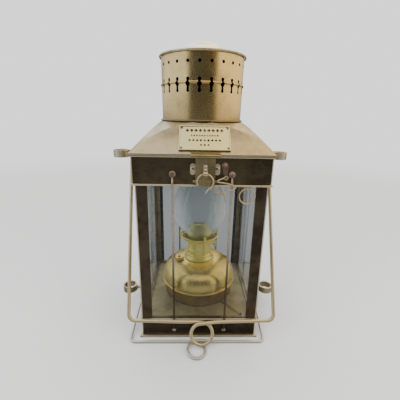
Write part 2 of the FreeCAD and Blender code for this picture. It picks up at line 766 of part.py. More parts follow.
def smoke_baffle():
    """Draught cup hung inside the chimney on three arms, so that smoke must pass round it."""
    z = BAFFLE_BOTTOM
    cup = cylinder(V(0, 0, z), AXIS_Z, BAFFLE_RADIUS, BAFFLE_TOP - z)
    cup = cup.cut(cylinder(V(0, 0, z + 1.0), AXIS_Z, BAFFLE_RADIUS - 1.0, BAFFLE_TOP - z))
    arm = box(BAFFLE_RADIUS - 0.5, chimney_radius(z) - CHIMNEY_SHEET - 0.3, -4, 4, z, z + 1.0)
    arms = [turn(arm, VENT_TURN + 7.5 + 120 * k) for k in range(3)]
    return fuse(cup, *arms)


# ---- nameplate -----------------------------------------------------------------------------------
def lozenge(x, y, half_width, half_height, z0, height):
    corners = [
        (x - half_width, y, z0), (x, y - half_height, z0),
        (x + half_width, y, z0), (x, y + half_height, z0),
    ]
    return face_of(corners).extrude(V(0, 0, height))


def nameplate():
    """Riveted plate with a raised border and rows of plain lozenges in place of any lettering."""
    x0 = PLATE_CENTRE_X - PLATE_WIDTH / 2
    y0 = PLATE_UP_SLOPE - PLATE_HEIGHT / 2
    z0 = PLATE_STANDOFF
    top = z0 + PLATE_THICKNESS
    plate = box(x0, x0 + PLATE_WIDTH, y0, y0 + PLATE_HEIGHT, z0, top)
    border = box(x0, x0 + PLATE_WIDTH, y0, y0 + PLATE_HEIGHT, top - 0.2, top + PLATE_RELIEF)
    field = box(
        x0 + PLATE_BORDER, x0 + PLATE_WIDTH - PLATE_BORDER,
        y0 + PLATE_BORDER, y0 + PLATE_HEIGHT - PLATE_BORDER, top - 1, top + 2,
    )
    border = border.cut(field)
    marks = []
    for y, count, pitch, half_width, half_height in PLATE_ROWS:
        for k in range(count):
            x = PLATE_CENTRE_X + (k - (count - 1) / 2) * pitch
            place_y = PLATE_UP_SLOPE + y
            marks.append(lozenge(x, place_y, half_width, half_height, top - 0.2, PLATE_RELIEF))
    plate = plate.fuse([border] + marks)
    for x in NAMEPLATE_RIVET_X:
        for y in NAMEPLATE_RIVET_UP:
            plate = plate.cut(cylinder(V(x, y, 0), AXIS_Z, RIVET_SHANK + HOLE_PLAY, 6))
    return on_slope(plate)


def nameplate_rivets():
    """Rivets whose shoulders hold the plate off the slope."""
    rivets = []
    top = PLATE_STANDOFF + PLATE_THICKNESS
    for x in NAMEPLATE_RIVET_X:
        for y in NAMEPLATE_RIVET_UP:
            head = dome_head(2.1, 1.2)
            head.translate(V(x, y, top))
            shank = cylinder(V(x, y, -2), AXIS_Z, RIVET_SHANK, top + 2)
            shoulder = cylinder(V(x, y, 0.02), AXIS_Z, 1.9, PLATE_STANDOFF - 0.04)
            rivets.append(on_slope(fuse(head, shank, shoulder)))
    return rivets


# ---- hood hinge ----------------------------------------------------------------------------------
def across(points, x0, x1):
    """Prism along X between x0 and x1 from (y, z) corners."""
    outline = face_of([(x0, y, z) for y, z in points])
    return outline.extrude(V(x1 - x0, 0, 0))


def knuckle(centre, radius, bore, x0, x1):
    y, z = centre
    barrel = cylinder(V(x0, y, z), AXIS_X, radius, x1 - x0)
    return barrel, cylinder(V(x0 - 1, y, z), AXIS_X, bore, x1 - x0 + 2)


def hinge_leaf_body():
    """Fixed leaf on the back of the band, with a knuckle at each end."""
    half = REAR_HINGE_WIDTH / 2
    y, z = REAR_HINGE
    wall = BAND_HALF + 0.02
    plate = across([(wall, 281), (wall + 1.4, 281), (wall + 1.4, 302), (wall, 302)], -half, half)
    arm = [
        (wall, 297.5), (wall + 1.4, 297.5), (y + 2.4, z - 1.8),
        (y - 2.0, z - 2.2), (wall + 3.0, 302.4), (wall, 302.4),
    ]
    leaf = plate
    bores = []
    for x0, x1 in ((-half, -half / 2), (half / 2, half)):
        barrel, bore = knuckle(REAR_HINGE, REAR_KNUCKLE, REAR_PIN + HOLE_PLAY, x0, x1)
        leaf = leaf.fuse([barrel, across(arm, x0, x1)])
        bores.append(bore)
    holes = [
        cylinder(V(x, BAND_HALF - 3, REAR_RIVET_HEIGHT), AXIS_Y, SCREW_SHANK + HOLE_PLAY, 6)
        for x in REAR_RIVET_PLACES
    ]
    return leaf.cut(bores + holes).removeSplitter()


def hinge_leaf_hood():
    """Moving leaf on the hood's back slope, with one long knuckle in the middle."""
    half = REAR_HINGE_WIDTH / 2
    inner = half / 2 - KNUCKLE_GAP
    y, z = REAR_HINGE
    out = 0.05 + HINGE_LEAF_SHEET
    plate = box(-half, half, 3.0, 21.0, 0.05, out)
    plate = turn(on_slope(plate), 180)
    heel = slope_point(0, 0.05, 0.05)
    foot = slope_point(0, 3.2, 0.05)
    knee = slope_point(0, 3.0, out)
    arm = across(
        [
            (-foot.y, foot.z), (-knee.y, knee.z + 0.3), (y + 1.6, z + 2.2), (y - 1.0, z + 1.2),
            (LIP_HALF + 0.15, z + 1.6), (LIP_HALF + 0.15, LIP_TOP + 0.1), (-heel.y, heel.z),
        ],
        -inner, inner,
    )
    barrel, bore = knuckle(REAR_HINGE, REAR_KNUCKLE, REAR_PIN + HOLE_PLAY, -inner, inner)
    holes = []
    for x in HINGE_LEAF_RIVETS:
        start = turn_point(slope_point(x, HINGE_LEAF_RIVET_UP, -2))
        holes.append(cylinder(start, turn_point(SLOPE_OUT), RIVET_SHANK + HOLE_PLAY, 6))
    return plate.fuse([arm, barrel]).cut([bore] + holes).removeSplitter()


def hinge_pin():
    half = REAR_HINGE_WIDTH / 2
    y, z = REAR_HINGE
    pin = cylinder(V(-half - 1.5, y, z), AXIS_X, REAR_PIN, REAR_HINGE_WIDTH + 3)
    heads = [
        place(dome_head(2.6, 1.2), (side * (half + 0.3), y, z), AXIS_X * side) for side in (-1, 1)
    ]
    return fuse(pin, *heads)


def hinge_rivets_body():
    return [
        fastener((x, BAND_HALF + 1.42, REAR_RIVET_HEIGHT), AXIS_Y, 2.7, 1.4, SCREW_SHANK, 2.6)
        for x in REAR_RIVET_PLACES
    ]


def hinge_rivets_hood():
    rivets = []
    outward = turn_point(SLOPE_OUT)
    for x in HINGE_LEAF_RIVETS:
        start = turn_point(slope_point(x, HINGE_LEAF_RIVET_UP, 0.05 + HINGE_LEAF_SHEET))
        rivets.append(fastener((start.x, start.y, start.z), outward, 2.2, 1.2, RIVET_SHANK, 3.0))
    return rivets


# ---- hasp ----------------------------------------------------------------------------------------
def hasp_leaf():
    """Two fixed knuckles on the hood's front lip that carry the hasp's pin."""
    y, z = HASP_HINGE
    half = HASP_WIDTH / 2 + KNUCKLE_GAP
    wall = -LIP_HALF - 0.02
    link_outline = [(wall, z - 0.3), (wall, LIP_TOP), (y, z + HASP_KNUCKLE - 0.1), (y, z)]
    pieces = []
    bores = []
    for x0 in (HASP_X - half - HASP_EAR, HASP_X + half):
        x1 = x0 + HASP_EAR
        barrel, bore = knuckle(HASP_HINGE, HASP_KNUCKLE, HASP_PIN + HOLE_PLAY, x0, x1)
        link = across(link_outline, x0, x1)
        pieces.append(fuse(barrel, link))
        bores.append(bore)
    top = slope_point(0, 4.0, 0.05)
    rise = slope_point(0, 4.0, 0.85)
    tie = across(
        [
            (wall, LIP_TOP + 0.05), (top.y, top.z), (rise.y, rise.z),
            (y + 0.4, z + HASP_KNUCKLE + 0.7), (-LIP_HALF - 1.6, z + HASP_KNUCKLE - 0.25),
            (wall, LIP_TOP - 0.3),
        ],
        HASP_X - half - HASP_EAR, HASP_X + half + HASP_EAR,
    )
    turning_room = cylinder(V(HASP_X - half, y, z), AXIS_X, HASP_KNUCKLE + 0.3, 2 * half)
    tie = tie.cut(turning_room)
    return pieces[0].fuse([pieces[1], tie]).cut(bores).removeSplitter()


def hasp_hinge_pin():
    y, z = HASP_HINGE
    half = HASP_WIDTH / 2 + KNUCKLE_GAP + HASP_EAR
    pin = cylinder(V(HASP_X - half - 0.8, y, z), AXIS_X, HASP_PIN, 2 * half + 1.6)
    heads = [
        place(dome_head(2.0, 0.9), (HASP_X + side * (half + 0.2), y, z), AXIS_X * side)
        for side in (-1, 1)
    ]
    return fuse(pin, *heads)


def hasp_plate():
    """Swinging plate with a rolled bar across its lower end."""
    x0 = HASP_X - HASP_WIDTH / 2
    x1 = HASP_X + HASP_WIDTH / 2
    barrel, bore = knuckle(HASP_HINGE, HASP_KNUCKLE, HASP_PIN + HOLE_PLAY, x0, x1)
    plate = box(x0, x1, HASP_BACK - HASP_SHEET, HASP_BACK, HASP_BOTTOM, HASP_HINGE[1])
    feet = [
        e for e in plate.Edges
        if abs(e.tangentAt(e.FirstParameter).y) > 0.5 and e.CenterOfMass.z < HASP_BOTTOM + 1
    ]
    plate = plate.makeFillet(4.0, feet)
    roll_start = V(HASP_X - 0.8 - HASP_ROLL_LENGTH / 2, *HASP_ROLL)
    roll = cylinder(roll_start, AXIS_X, HASP_ROLL_RADIUS, HASP_ROLL_LENGTH)
    keeper_holes = [
        cylinder(V(HASP_X, HASP_BACK + 1, rivet_z), FRONT, RIVET_SHANK + HOLE_PLAY, 4)
        for rivet_z in KEEPER_RIVETS
    ]
    return plate.fuse([barrel, roll]).cut([bore] + keeper_holes).removeSplitter()


def hasp_keeper():
    """Narrow strap riveted to the plate, its lower end rolled into an eye for the ring."""
    y, z = KEEPER_HOLE
    face = HASP_BACK - HASP_SHEET - 0.02
    outline = [
        (face, KEEPER_TOP), (face - 1.5, KEEPER_TOP), (face - 1.5, z + 2.0),
        (y - 1.6, z + 1.2), (y, z - 2.4), (face, z - 2.0),
    ]
    strap = across(outline, HASP_X - KEEPER_HALF, HASP_X + KEEPER_HALF)
    eye = cylinder(V(HASP_X - KEEPER_HALF, y, z), AXIS_X, 3.0, 2 * KEEPER_HALF)
    behind = box(HASP_X - 5, HASP_X + 5, face, face + 6, z - 8, z + 8)
    hole = cylinder(V(HASP_X - 5, y, z), AXIS_X, 1.8, 10)
    rivet_holes = [
        cylinder(V(HASP_X, HASP_BACK + 1, rivet_z), FRONT, RIVET_SHANK + HOLE_PLAY, 6)
        for rivet_z in KEEPER_RIVETS
    ]
    return strap.fuse(eye).cut([behind, hole] + rivet_holes).removeSplitter()


def keeper_rivets():
    head_y = HASP_BACK - HASP_SHEET - 1.52
    return [
        fastener((HASP_X, head_y, z), FRONT, 1.8, 0.9, RIVET_SHANK, 2.9) for z in KEEPER_RIVETS
    ]


def hasp_ring():
    """Open wire ring hanging from the keeper, its ends turned apart at the bottom."""
    y, z = KEEPER_HOLE
    radius = HASP_RING_RADIUS
    centre = V(HASP_X, y, z + 0.2 - radius)
    points = []
    for degrees in range(-118, 125, 22):
        a = math.radians(degrees)
        points.append(centre + V(radius * math.sin(a), 0, radius * math.cos(a)))
    points.append(centre + V(4.2, 0, -11.2))
    points.append(centre + V(1.6, 0, -16.4))
    return wire_rod([smooth_path(points)], HASP_RING_WIRE)


# ---- chained pin, tag and eyes -------------------------------------------------------------------
def side_eyes():
    """Oval eye plates on the band, one each side of the hasp."""
    eyes = []
    for x in EYE_PLACES:
        face = -BAND_HALF - 0.02
        plate = box(x - 3.8, x + 3.8, face - 2.4, face, EYE_HEIGHT - 4.2, EYE_HEIGHT + 4.2)
        ends = [cylinder(V(x, face, EYE_HEIGHT + s * 4.2), FRONT, 3.8, 2.4) for s in (-1, 1)]
        hole = cylinder(V(x, face + 1, EYE_SCREW_HEIGHT), FRONT, SCREW_SHANK + HOLE_PLAY, 6)
        eyes.append(fuse(plate, *ends).cut(hole))
    return eyes


def eye_screws():
    y, z = -BAND_HALF - 2.42, EYE_SCREW_HEIGHT
    return [
        fastener((x, y, z), FRONT, 2.9, 0.9, SCREW_SHANK, 3.6, slot=True) for x in EYE_PLACES
    ]


def chain_tag():
    """Teardrop tag screwed to the band; the stud on its tail holds the hair pin."""
    x, z = TAG
    tail_x, tail_z = TAG_EYE
    face = -BAND_HALF - 0.02
    head = cylinder(V(x, face, z), FRONT, 4.8, TAG_SHEET)
    tail_outline = face_of(
        [
            (x - 3.6, face, z - 3), (tail_x - 2.2, face, tail_z),
            (tail_x + 2.2, face, tail_z), (x + 4.4, face, z - 2),
        ]
    )
    tail = tail_outline.extrude(V(0, -TAG_SHEET, 0))
    boss = cylinder(V(tail_x, face, tail_z), FRONT, 2.7, 2.1)
    stud = cylinder(V(tail_x, face - 2.0, tail_z), FRONT, TAG_STUD, 2.2)
    stud_head = cylinder(V(tail_x, face - 4.0, tail_z), FRONT, TAG_STUD_HEAD, 0.6)
    hole = cylinder(V(x, face + 1, z), FRONT, SCREW_SHANK + HOLE_PLAY, 6)
    return fuse(head, tail, boss, stud, stud_head).cut([hole]).removeSplitter()


def tag_screw():
    x, z = TAG
    return fastener((x, -BAND_HALF - 1.52, z), FRONT, 3.4, 2.3, SCREW_SHANK, 2.7, slot=True)


def hair_pin():
    """Split pin bent from one wire, hung on the tag's stud by a small collar."""
    x, z = TAG_EYE
    y = -BAND_HALF - 3.07
    collar = cylinder(V(x, y + 0.75, z), FRONT, 3.1, 1.5).cut(
        cylinder(V(x, y + 1, z), FRONT, TAG_STUD + PIVOT_PLAY, 3)
    )
    lane = y - 3.3
    bends = [
        V(x - 2.9, y, z + 0.3), V(x - 6.0, y - 2.0, z - 0.8), V(x - 11.6, lane, z - 3.0),
        V(x - 10.6, lane - 0.3, z - 6.0), V(x - 4.0, lane, z - 6.2), V(x + 5.0, lane, z - 8.0),
        V(x + 12.0, lane, z - 10.4), V(x + 13.6, lane, z - 13.0), V(x + 9.6, lane, z - 15.6),
        V(x + 3.0, lane, z - 18.0), V(x - 1.0, lane, z - 20.4),
    ]
    wire = wire_rod([smooth_path(bends)], HAIR_PIN_WIRE)
    return fuse(collar, wire)


def safety_chain():
    """Short chain of oval links hanging from the hair pin's tail."""
    links = []
    x, z = TAG_EYE
    y = -BAND_HALF - 6.0
    start = V(x - 2.6, y, z - 18.9)
    step = V(-2.75, 0, 0.45)
    for k in range(5):
        centre = start + step * (k + 0.5)
        ring = Part.makeTorus(1.55, 0.5, ORIGIN, AXIS_Y if k % 2 else AXIS_Z)
        stretch = FreeCAD.Matrix()
        stretch.scale(1.35, 1.0, 1.0)
        ring = ring.transformGeometry(stretch)
        ring.translate(centre)
        links.append(ring)
    return links


# ---- pane pull ring ------------------------------------------------------------------------------
def pull_ring_staple():
    x, y, z = PULL_RING_PIVOT
    body = box(x - 1.8, x + 1.8, y - 2.6, -BODY_HALF - 0.02, z, BEAD_BOTTOM)
    nose = cylinder(V(x - 1.8, y, z), AXIS_X, 2.6, 3.6)
    hole = cylinder(V(x - 3, y, z), AXIS_X, 1.3, 6)
    return fuse(body, nose).cut(hole)


def pull_ring():
    x, y, z = PULL_RING_PIVOT
    centre = V(x, y, z + 0.1 - PULL_RING_RADIUS)
    return Part.makeTorus(PULL_RING_RADIUS, PULL_RING_WIRE, centre, AXIS_Y)


# ---- oil lamp ------------------------------------------------------------------------------------
def font_foot():
    z = BASE_HEIGHT
    return lathe_outline(
        [
            (2.0, z), (62.0, z), (65.0, FONT_RIM_HEIGHT - 0.05), (64.0, FONT_RIM_HEIGHT - 0.05),
            (61.0, z + 1.2), (2.0, z + 1.2),
        ]
    )


def font_body():
    """Spun oil reservoir: near upright wall, round shoulder, nearly flat top, rolled rim and filler."""
    outline = [
        (66.2, 61.0), (67.3, 66.0), (66.6, 73.0), (62.8, 84.0), (54.6, 92.8), (42.6, 98.6),
        (30.0, FONT_TOP), (22.5, FONT_TOP + 0.4),
    ]
    shell = smooth_shell(outline, LAMP_SHEET)
    z = FONT_RIM_HEIGHT
    floor = lathe_outline([(0, z), (65.4, z), (65.4, z + 2.2), (0, z + 1.2)])
    rim = Part.makeTorus(FONT_RADIUS - 1.5, 1.5, V(0, 0, z), AXIS_Z)
    x, y = FILLER
    neck = cylinder(V(x, y, 94.0), AXIS_Z, FILLER_NECK, 10.0)
    bore = cylinder(V(x, y, 90.0), AXIS_Z, FILLER_NECK - 1.0, 16.0)
    return shell.fuse([floor, rim, neck]).cut(bore)


def filler_cap():
    """Fluted screw cap with a small knob."""
    x, y = FILLER
    low = FILLER_CAP_BOTTOM
    cap = cylinder(V(x, y, low), AXIS_Z, 8.2, 5.0)
    rims = [e for e in cap.Edges if e.CenterOfMass.z > low + 4]
    cap = cap.makeFillet(1.4, rims)
    knob = cylinder(V(x, y, low + 4.0), AXIS_Z, 2.6, 3.4)
    bore = cylinder(V(x, y, low - 1), AXIS_Z, FILLER_NECK + PIVOT_PLAY, 4.0)
    flute = cylinder(V(x + 8.6, y, low - 1), AXIS_Z, 0.75, 5.2)
    flutes = [turn(flute, 20 * k, V(x, y, 0)) for k in range(18)]
    return fuse(cap, knob).cut([bore] + flutes)


def font_collar():
    """Collar on the font: flared foot ring, a step and a plain neck."""
    low = FONT_TOP + 0.6
    neck = COLLAR_RADIUS
    bore = COLLAR_RADIUS - 1.5
    return lathe_outline(
        [
            (bore, low), (27.0, low), (27.4, low + 1.4), (25.0, low + 3.2), (neck + 1.0, low + 5.0),
            (neck + 1.0, low + 7.5), (neck, low + 8.5), (neck, 118.0), (bore, 118.0),
        ]
    )


def burner_body():
    """Burner drum between collar and gallery, bored for the wick spindle."""
    top = GALLERY_BOTTOM - 0.1
    r = COLLAR_RADIUS
    drum = lathe_outline(
        [
            (r - 1.2, 118.2), (r + 0.6, 118.2), (r + 0.6, 120.4), (r - 0.2, 121.0),
            (r - 0.2, 131.0), (r + 1.4, 132.2), (r + 1.4, top), (r - 1.2, top),
        ]
    )
    bore = cylinder(V(10, SPINDLE_Y, SPINDLE_HEIGHT), AXIS_X, SPINDLE_RADIUS + PIVOT_PLAY, 20)
    return drum.cut(bore)


def gallery():
    """Bowl with draught holes, a rolled edge, a seat for the glass and a slot for the wick tube."""
    outline = [
        (24.6, GALLERY_BOTTOM), (28.6, GALLERY_BOTTOM + 2.4), (32.8, GALLERY_BOTTOM + 6.6),
        (34.4, GALLERY_TOP - 1.6),
    ]
    bowl = smooth_shell(outline, 0.9)
    low = GALLERY_BOTTOM
    disc = cylinder(V(0, 0, low), AXIS_Z, 24.6, 0.9)
    disc = disc.cut(box(-TUBE_HALF_X, TUBE_HALF_X, -TUBE_HALF_Y, TUBE_HALF_Y, low - 1, low + 2))
    edge = Part.makeTorus(34.6, 1.1, V(0, 0, GALLERY_TOP - 0.9), AXIS_Z)
    seat_top = GALLERY_TOP - 2.0
    seat_low = seat_top - 0.9
    seat = lathe_outline([(28.0, seat_low), (33.4, seat_low), (33.4, seat_top), (28.0, seat_top)])
    hole = cylinder(V(26, 0, low + 5.6), V(0.86, 0, -0.5), 1.1, 12)
    holes = [turn(hole, 15 * k) for k in range(24)]
    return bowl.fuse([disc, edge, seat]).cut(holes)


def gallery_prongs():
    """Four spring prongs and their small round tips that grip the glass."""
    prongs = []
    for k in range(4):
        stem = box(35.7, 36.5, -2.2, 2.2, GALLERY_TOP - 3.0, GALLERY_TOP + 6.0)
        tip = cylinder(V(35.6, 0, GALLERY_TOP + 6.0), AXIS_X, 2.2, 1.4)
        prongs.append(turn(fuse(stem, tip), 15 + 90 * k))
    return prongs


def burner_cone():
    """Domed flame spreader with its slot, standing inside the gallery."""
    outline = [
        (24.0, GALLERY_BOTTOM + 0.95), (25.6, 143.0), (25.4, 149.0),
        (22.6, 156.2), (16.6, 162.6), (8.6, 166.6), (1.9, 167.6),
    ]
    dome = smooth_shell(outline, 0.8)
    slot = box(-9.6, 9.6, -2.4, 2.4, 150, 175)
    return dome.cut(slot)


def wick_tube():
    """Flat tube round the wick, with a window for the spindle's feed wheels."""
    tube = box(-TUBE_HALF_X, TUBE_HALF_X, -TUBE_HALF_Y, TUBE_HALF_Y, TUBE_BOTTOM, TUBE_TOP)
    bore_x = WICK_HALF_WIDTH + 0.25
    bore_y = WICK_HALF_THICKNESS + 0.25
    bore = box(-bore_x, bore_x, -bore_y, bore_y, TUBE_BOTTOM - 1, TUBE_TOP + 1)
    window = box(-4, 4, 0, 6, SPINDLE_HEIGHT - 5, SPINDLE_HEIGHT + 5)
    return tube.cut([bore, window])


def wick():
    x, y = WICK_HALF_WIDTH, WICK_HALF_THICKNESS
    return box(-x, x, -y, y, WICK_BOTTOM, WICK_TOP)


def wick_spindle():
    shaft = cylinder(V(-5, SPINDLE_Y, SPINDLE_HEIGHT), AXIS_X, SPINDLE_RADIUS, 38)
    wheels = [cylinder(V(x, SPINDLE_Y, SPINDLE_HEIGHT), AXIS_X, 2.6, 1.0) for x in (-3, 2)]
    return fuse(shaft, *wheels)


def wick_knob():
    """Milled thumb wheel on the end of the wick spindle."""
    start = V(KNOB_START, SPINDLE_Y, SPINDLE_HEIGHT)
    wheel = cylinder(start, AXIS_X, KNOB_RADIUS, 2.6)
    boss = cylinder(start - AXIS_X * 2, AXIS_X, 3.2, 6.0)
    bore = cylinder(start - AXIS_X * 3, AXIS_X, SPINDLE_RADIUS, 20.0)
    notch = cylinder(start + V(-1, 0, KNOB_RADIUS + 0.3), AXIS_X, 0.8, 5)
    notches = [turn(notch, 15 * k, start, AXIS_X) for k in range(24)]
    return fuse(wheel, boss).cut([bore] + notches)


def glass_globe():
    """Blown onion globe, open at both ends, standing in the gallery."""
    outline = [
        (31.0, GALLERY_TOP - 2.0), (34.4, 160.0), (42.6, 174.0), (48.2, 188.0), (49.0, 201.0),
        (46.2, 216.0), (39.6, 231.0), (33.6, 241.0), (31.4, 250.0),
    ]
    globe = smooth_shell(outline, 1.6)
    globe.translate(V(0, 0, GALLERY_TOP - 1.98 - globe.BoundBox.ZMin))
    return globe


def lamp_straps():
    """Spring strips, screwed to the floor at two corners, that hold the lamp's foot down."""
    strips = []
    for turned in (0, 180):
        strip = box(62.6, 112.2, -2.0, 2.0, BASE_HEIGHT, BASE_HEIGHT + 0.9)
        hole = cylinder(V(STRAP_SCREW, 0, BASE_HEIGHT - 1), AXIS_Z, SCREW_SHANK, 4)
        strips.append(turn(strip.cut(hole), STRAP_TURN + turned))
    return strips


def strap_screws():
    screws = []
    for turned in (0, 180):
        screw = fastener(
            (STRAP_SCREW, 0, BASE_HEIGHT + 0.92), AXIS_Z, 3.2, 1.8, SCREW_SHANK - 0.1, 0.85, slot=True
        )
        screws.append(turn(screw, STRAP_TURN + turned))
    return screws


# ---- assembly ------------------------------------------------------------------------------------
def save_body():
    save("base_tray", base_tray())
    save("base_flange", base_flange())
    save("floor_plate", floor_plate())
    save("corner_posts", *corner_posts())
    for quarter, side in enumerate(("front", "right", "rear", "left")):
        save("pane_" + side, glass_pane(quarter))
    save("glass_corner_strips", *corner_strips())
    save("pane_head_rail", pane_head_rail())
    save("top_band", top_band())
    save("band_bead", band_bead())
    save("band_rim", band_rim())
    save("guard_rods", *guard_rods())
    save("band_screws", *rod_screws(), *eye_screws(), tag_screw())
    save("body_rivets", *rod_rivets(), *lug_rivets(), *hinge_rivets_body())
    for side, name in ((-1, "left"), (1, "right")):
        save("upper_lug_" + name, guide_lug(UPPER_PIVOT, side))
        save("lower_lug_" + name, guide_lug(LOWER_PIVOT, side))
    save("side_eyes", *side_eyes())
    save("chain_tag", chain_tag())
    save("pull_ring_staple", pull_ring_staple())
    save("hinge_leaf_body", hinge_leaf_body())
    save("hinge_pin", hinge_pin())


def save_hood():
    save("hood_shell", hood_shell())
    save("hood_lip", hood_lip())
    save("chimney_collar", chimney_collar())
    save("chimney_tube", chimney_tube())
    save("cap_rim", cap_rim())
    save("chimney_cap", chimney_cap())
    save("smoke_baffle", smoke_baffle())
    save("nameplate", nameplate())
    save("hood_rivets", *nameplate_rivets(), *hinge_rivets_hood())
    save("hinge_leaf_hood", hinge_leaf_hood())
    save("hasp_leaf", hasp_leaf())
    save("hasp_hinge_pin", hasp_hinge_pin())


def save_loose_fittings():
    save("upper_bail", upper_bail())
    save("lower_bail", lower_bail())
    save("hasp_plate", hasp_plate())
    save("hasp_keeper", hasp_keeper(), *keeper_rivets())
    save("hasp_ring", hasp_ring())
    save("hair_pin", hair_pin())
    save("safety_chain", *safety_chain())
    save("pull_ring", pull_ring())


def save_lamp():
    save("font_foot", font_foot())
    save("font_body", font_body())
    save("filler_cap", filler_cap())
    save("font_collar", font_collar())
    save("burner_body", burner_body())
    save("gallery", gallery())
    save("gallery_prongs", *gallery_prongs())
    save("burner_cone", burner_cone())
    save("wick_tube", wick_tube())
    save("wick", wick())
    save("wick_spindle", wick_spindle())
    save("wick_knob", wick_knob())
    save("glass_globe", glass_globe())
    save("lamp_straps", *lamp_straps(), *strap_screws())


os.makedirs("parts", exist_ok=True)
save_body()
save_hood()
save_loose_fittings()
save_lamp()
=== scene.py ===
import math

import bpy
from mathutils import Matrix, Vector


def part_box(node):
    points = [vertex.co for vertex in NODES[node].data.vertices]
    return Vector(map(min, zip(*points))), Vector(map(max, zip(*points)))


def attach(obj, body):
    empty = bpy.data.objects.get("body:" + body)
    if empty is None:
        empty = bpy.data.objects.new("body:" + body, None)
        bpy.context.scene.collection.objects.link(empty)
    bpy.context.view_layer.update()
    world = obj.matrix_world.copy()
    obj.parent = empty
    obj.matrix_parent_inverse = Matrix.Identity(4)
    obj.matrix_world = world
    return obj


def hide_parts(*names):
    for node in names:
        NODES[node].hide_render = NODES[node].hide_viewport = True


# A square brass ship lantern with an oil lamp inside.  Metres, +Z up, the front faces -Y.
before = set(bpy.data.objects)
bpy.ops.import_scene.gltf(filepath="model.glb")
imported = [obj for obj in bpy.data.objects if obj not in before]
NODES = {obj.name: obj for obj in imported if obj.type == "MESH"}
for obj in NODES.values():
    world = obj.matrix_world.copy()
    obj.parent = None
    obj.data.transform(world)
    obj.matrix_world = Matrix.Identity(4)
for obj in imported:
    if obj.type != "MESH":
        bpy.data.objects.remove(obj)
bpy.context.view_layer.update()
MM = 0.001


# ---- shader building -----------------------------------------------------------------------------
class Tree:
    """Short names for building a node tree."""

    def __init__(self, owner):
        owner.use_nodes = True
        self.tree = owner.node_tree
        self.tree.nodes.clear()

    def add(self, kind, inputs=None, **settings):
        node = self.tree.nodes.new("ShaderNode" + kind)
        for key, value in settings.items():
            setattr(node, key, value)
        for key, value in (inputs or {}).items():
            self.put(node.inputs[key], value)
        return node

    def put(self, socket, value):
        if isinstance(value, bpy.types.NodeSocket):
            self.tree.links.new(value, socket)
        elif isinstance(value, (tuple, list)) and socket.type == "RGBA" and len(value) == 3:
            socket.default_value = (*value, 1.0)
        else:
            socket.default_value = value

    def math(self, operation, a, b=0.0, clamp=False):
        node = self.add("Math", {0: a, 1: b}, operation=operation, use_clamp=clamp)
        return node.outputs[0]

    def times(self, a, b):
        return self.math("MULTIPLY", a, b)

    def plus(self, a, b):
        return self.math("ADD", a, b)

    def flip(self, a):
        return self.math("SUBTRACT", 1.0, a, clamp=True)

    def mix(self, factor, a, b, blend="MIX"):
        node = self.add("Mix", data_type="RGBA", blend_type=blend)
        self.put(node.inputs[0], factor)
        self.put(node.inputs[6], a)
        self.put(node.inputs[7], b)
        return node.outputs[2]

    def ramp(self, value, low, high, out_low=0.0, out_high=1.0):
        node = self.add("MapRange", interpolation_type="SMOOTHSTEP")
        for key, entry in zip((0, 1, 2, 3, 4), (value, low, high, out_low, out_high)):
            self.put(node.inputs[key], entry)
        return node.outputs[0]

    def noise(self, where, scale, detail=4.0, roughness=0.55):
        inputs = {"Vector": where, "Scale": scale, "Detail": detail, "Roughness": roughness}
        return self.add("TexNoise", inputs).outputs[0]

    def stretched(self, where, scale):
        return self.add("Mapping", {"Vector": where, "Scale": scale}).outputs[0]

    def bump(self, height, distance, strength=1.0, normal=None):
        inputs = {"Height": height, "Distance": distance, "Strength": strength}
        if normal is not None:
            inputs["Normal"] = normal
        return self.add("Bump", inputs).outputs[0]

    def height_mask(self, where, low, high):
        z = self.add("SeparateXYZ", {0: where}).outputs[2]
        return self.ramp(z, low, high)


def new_material(name):
    material = bpy.data.materials.new(name)
    return material, Tree(material)


# ---- materials -----------------------------------------------------------------------------------
# Dark colour for spots, print marks, and the soiling with painted shade in recesses.
SOIL_AND_SHADE = (0.035, 0.026, 0.017)
SMOKE_STAIN = (0.20, 0.15, 0.08)
POWDER = (0.62, 0.62, 0.58)
CHAR = (0.10, 0.08, 0.06)
# White for the painted reflection in the glass's sheen.
PAINTED_SHEEN_WHITE = (0.96, 0.98, 1.0)
GLASS_SHADOW = (0.94, 0.96, 0.96)
SHEEN_BLEND = 22 * MM
EDGE_SHINE = (0.92, 0.80, 0.56)


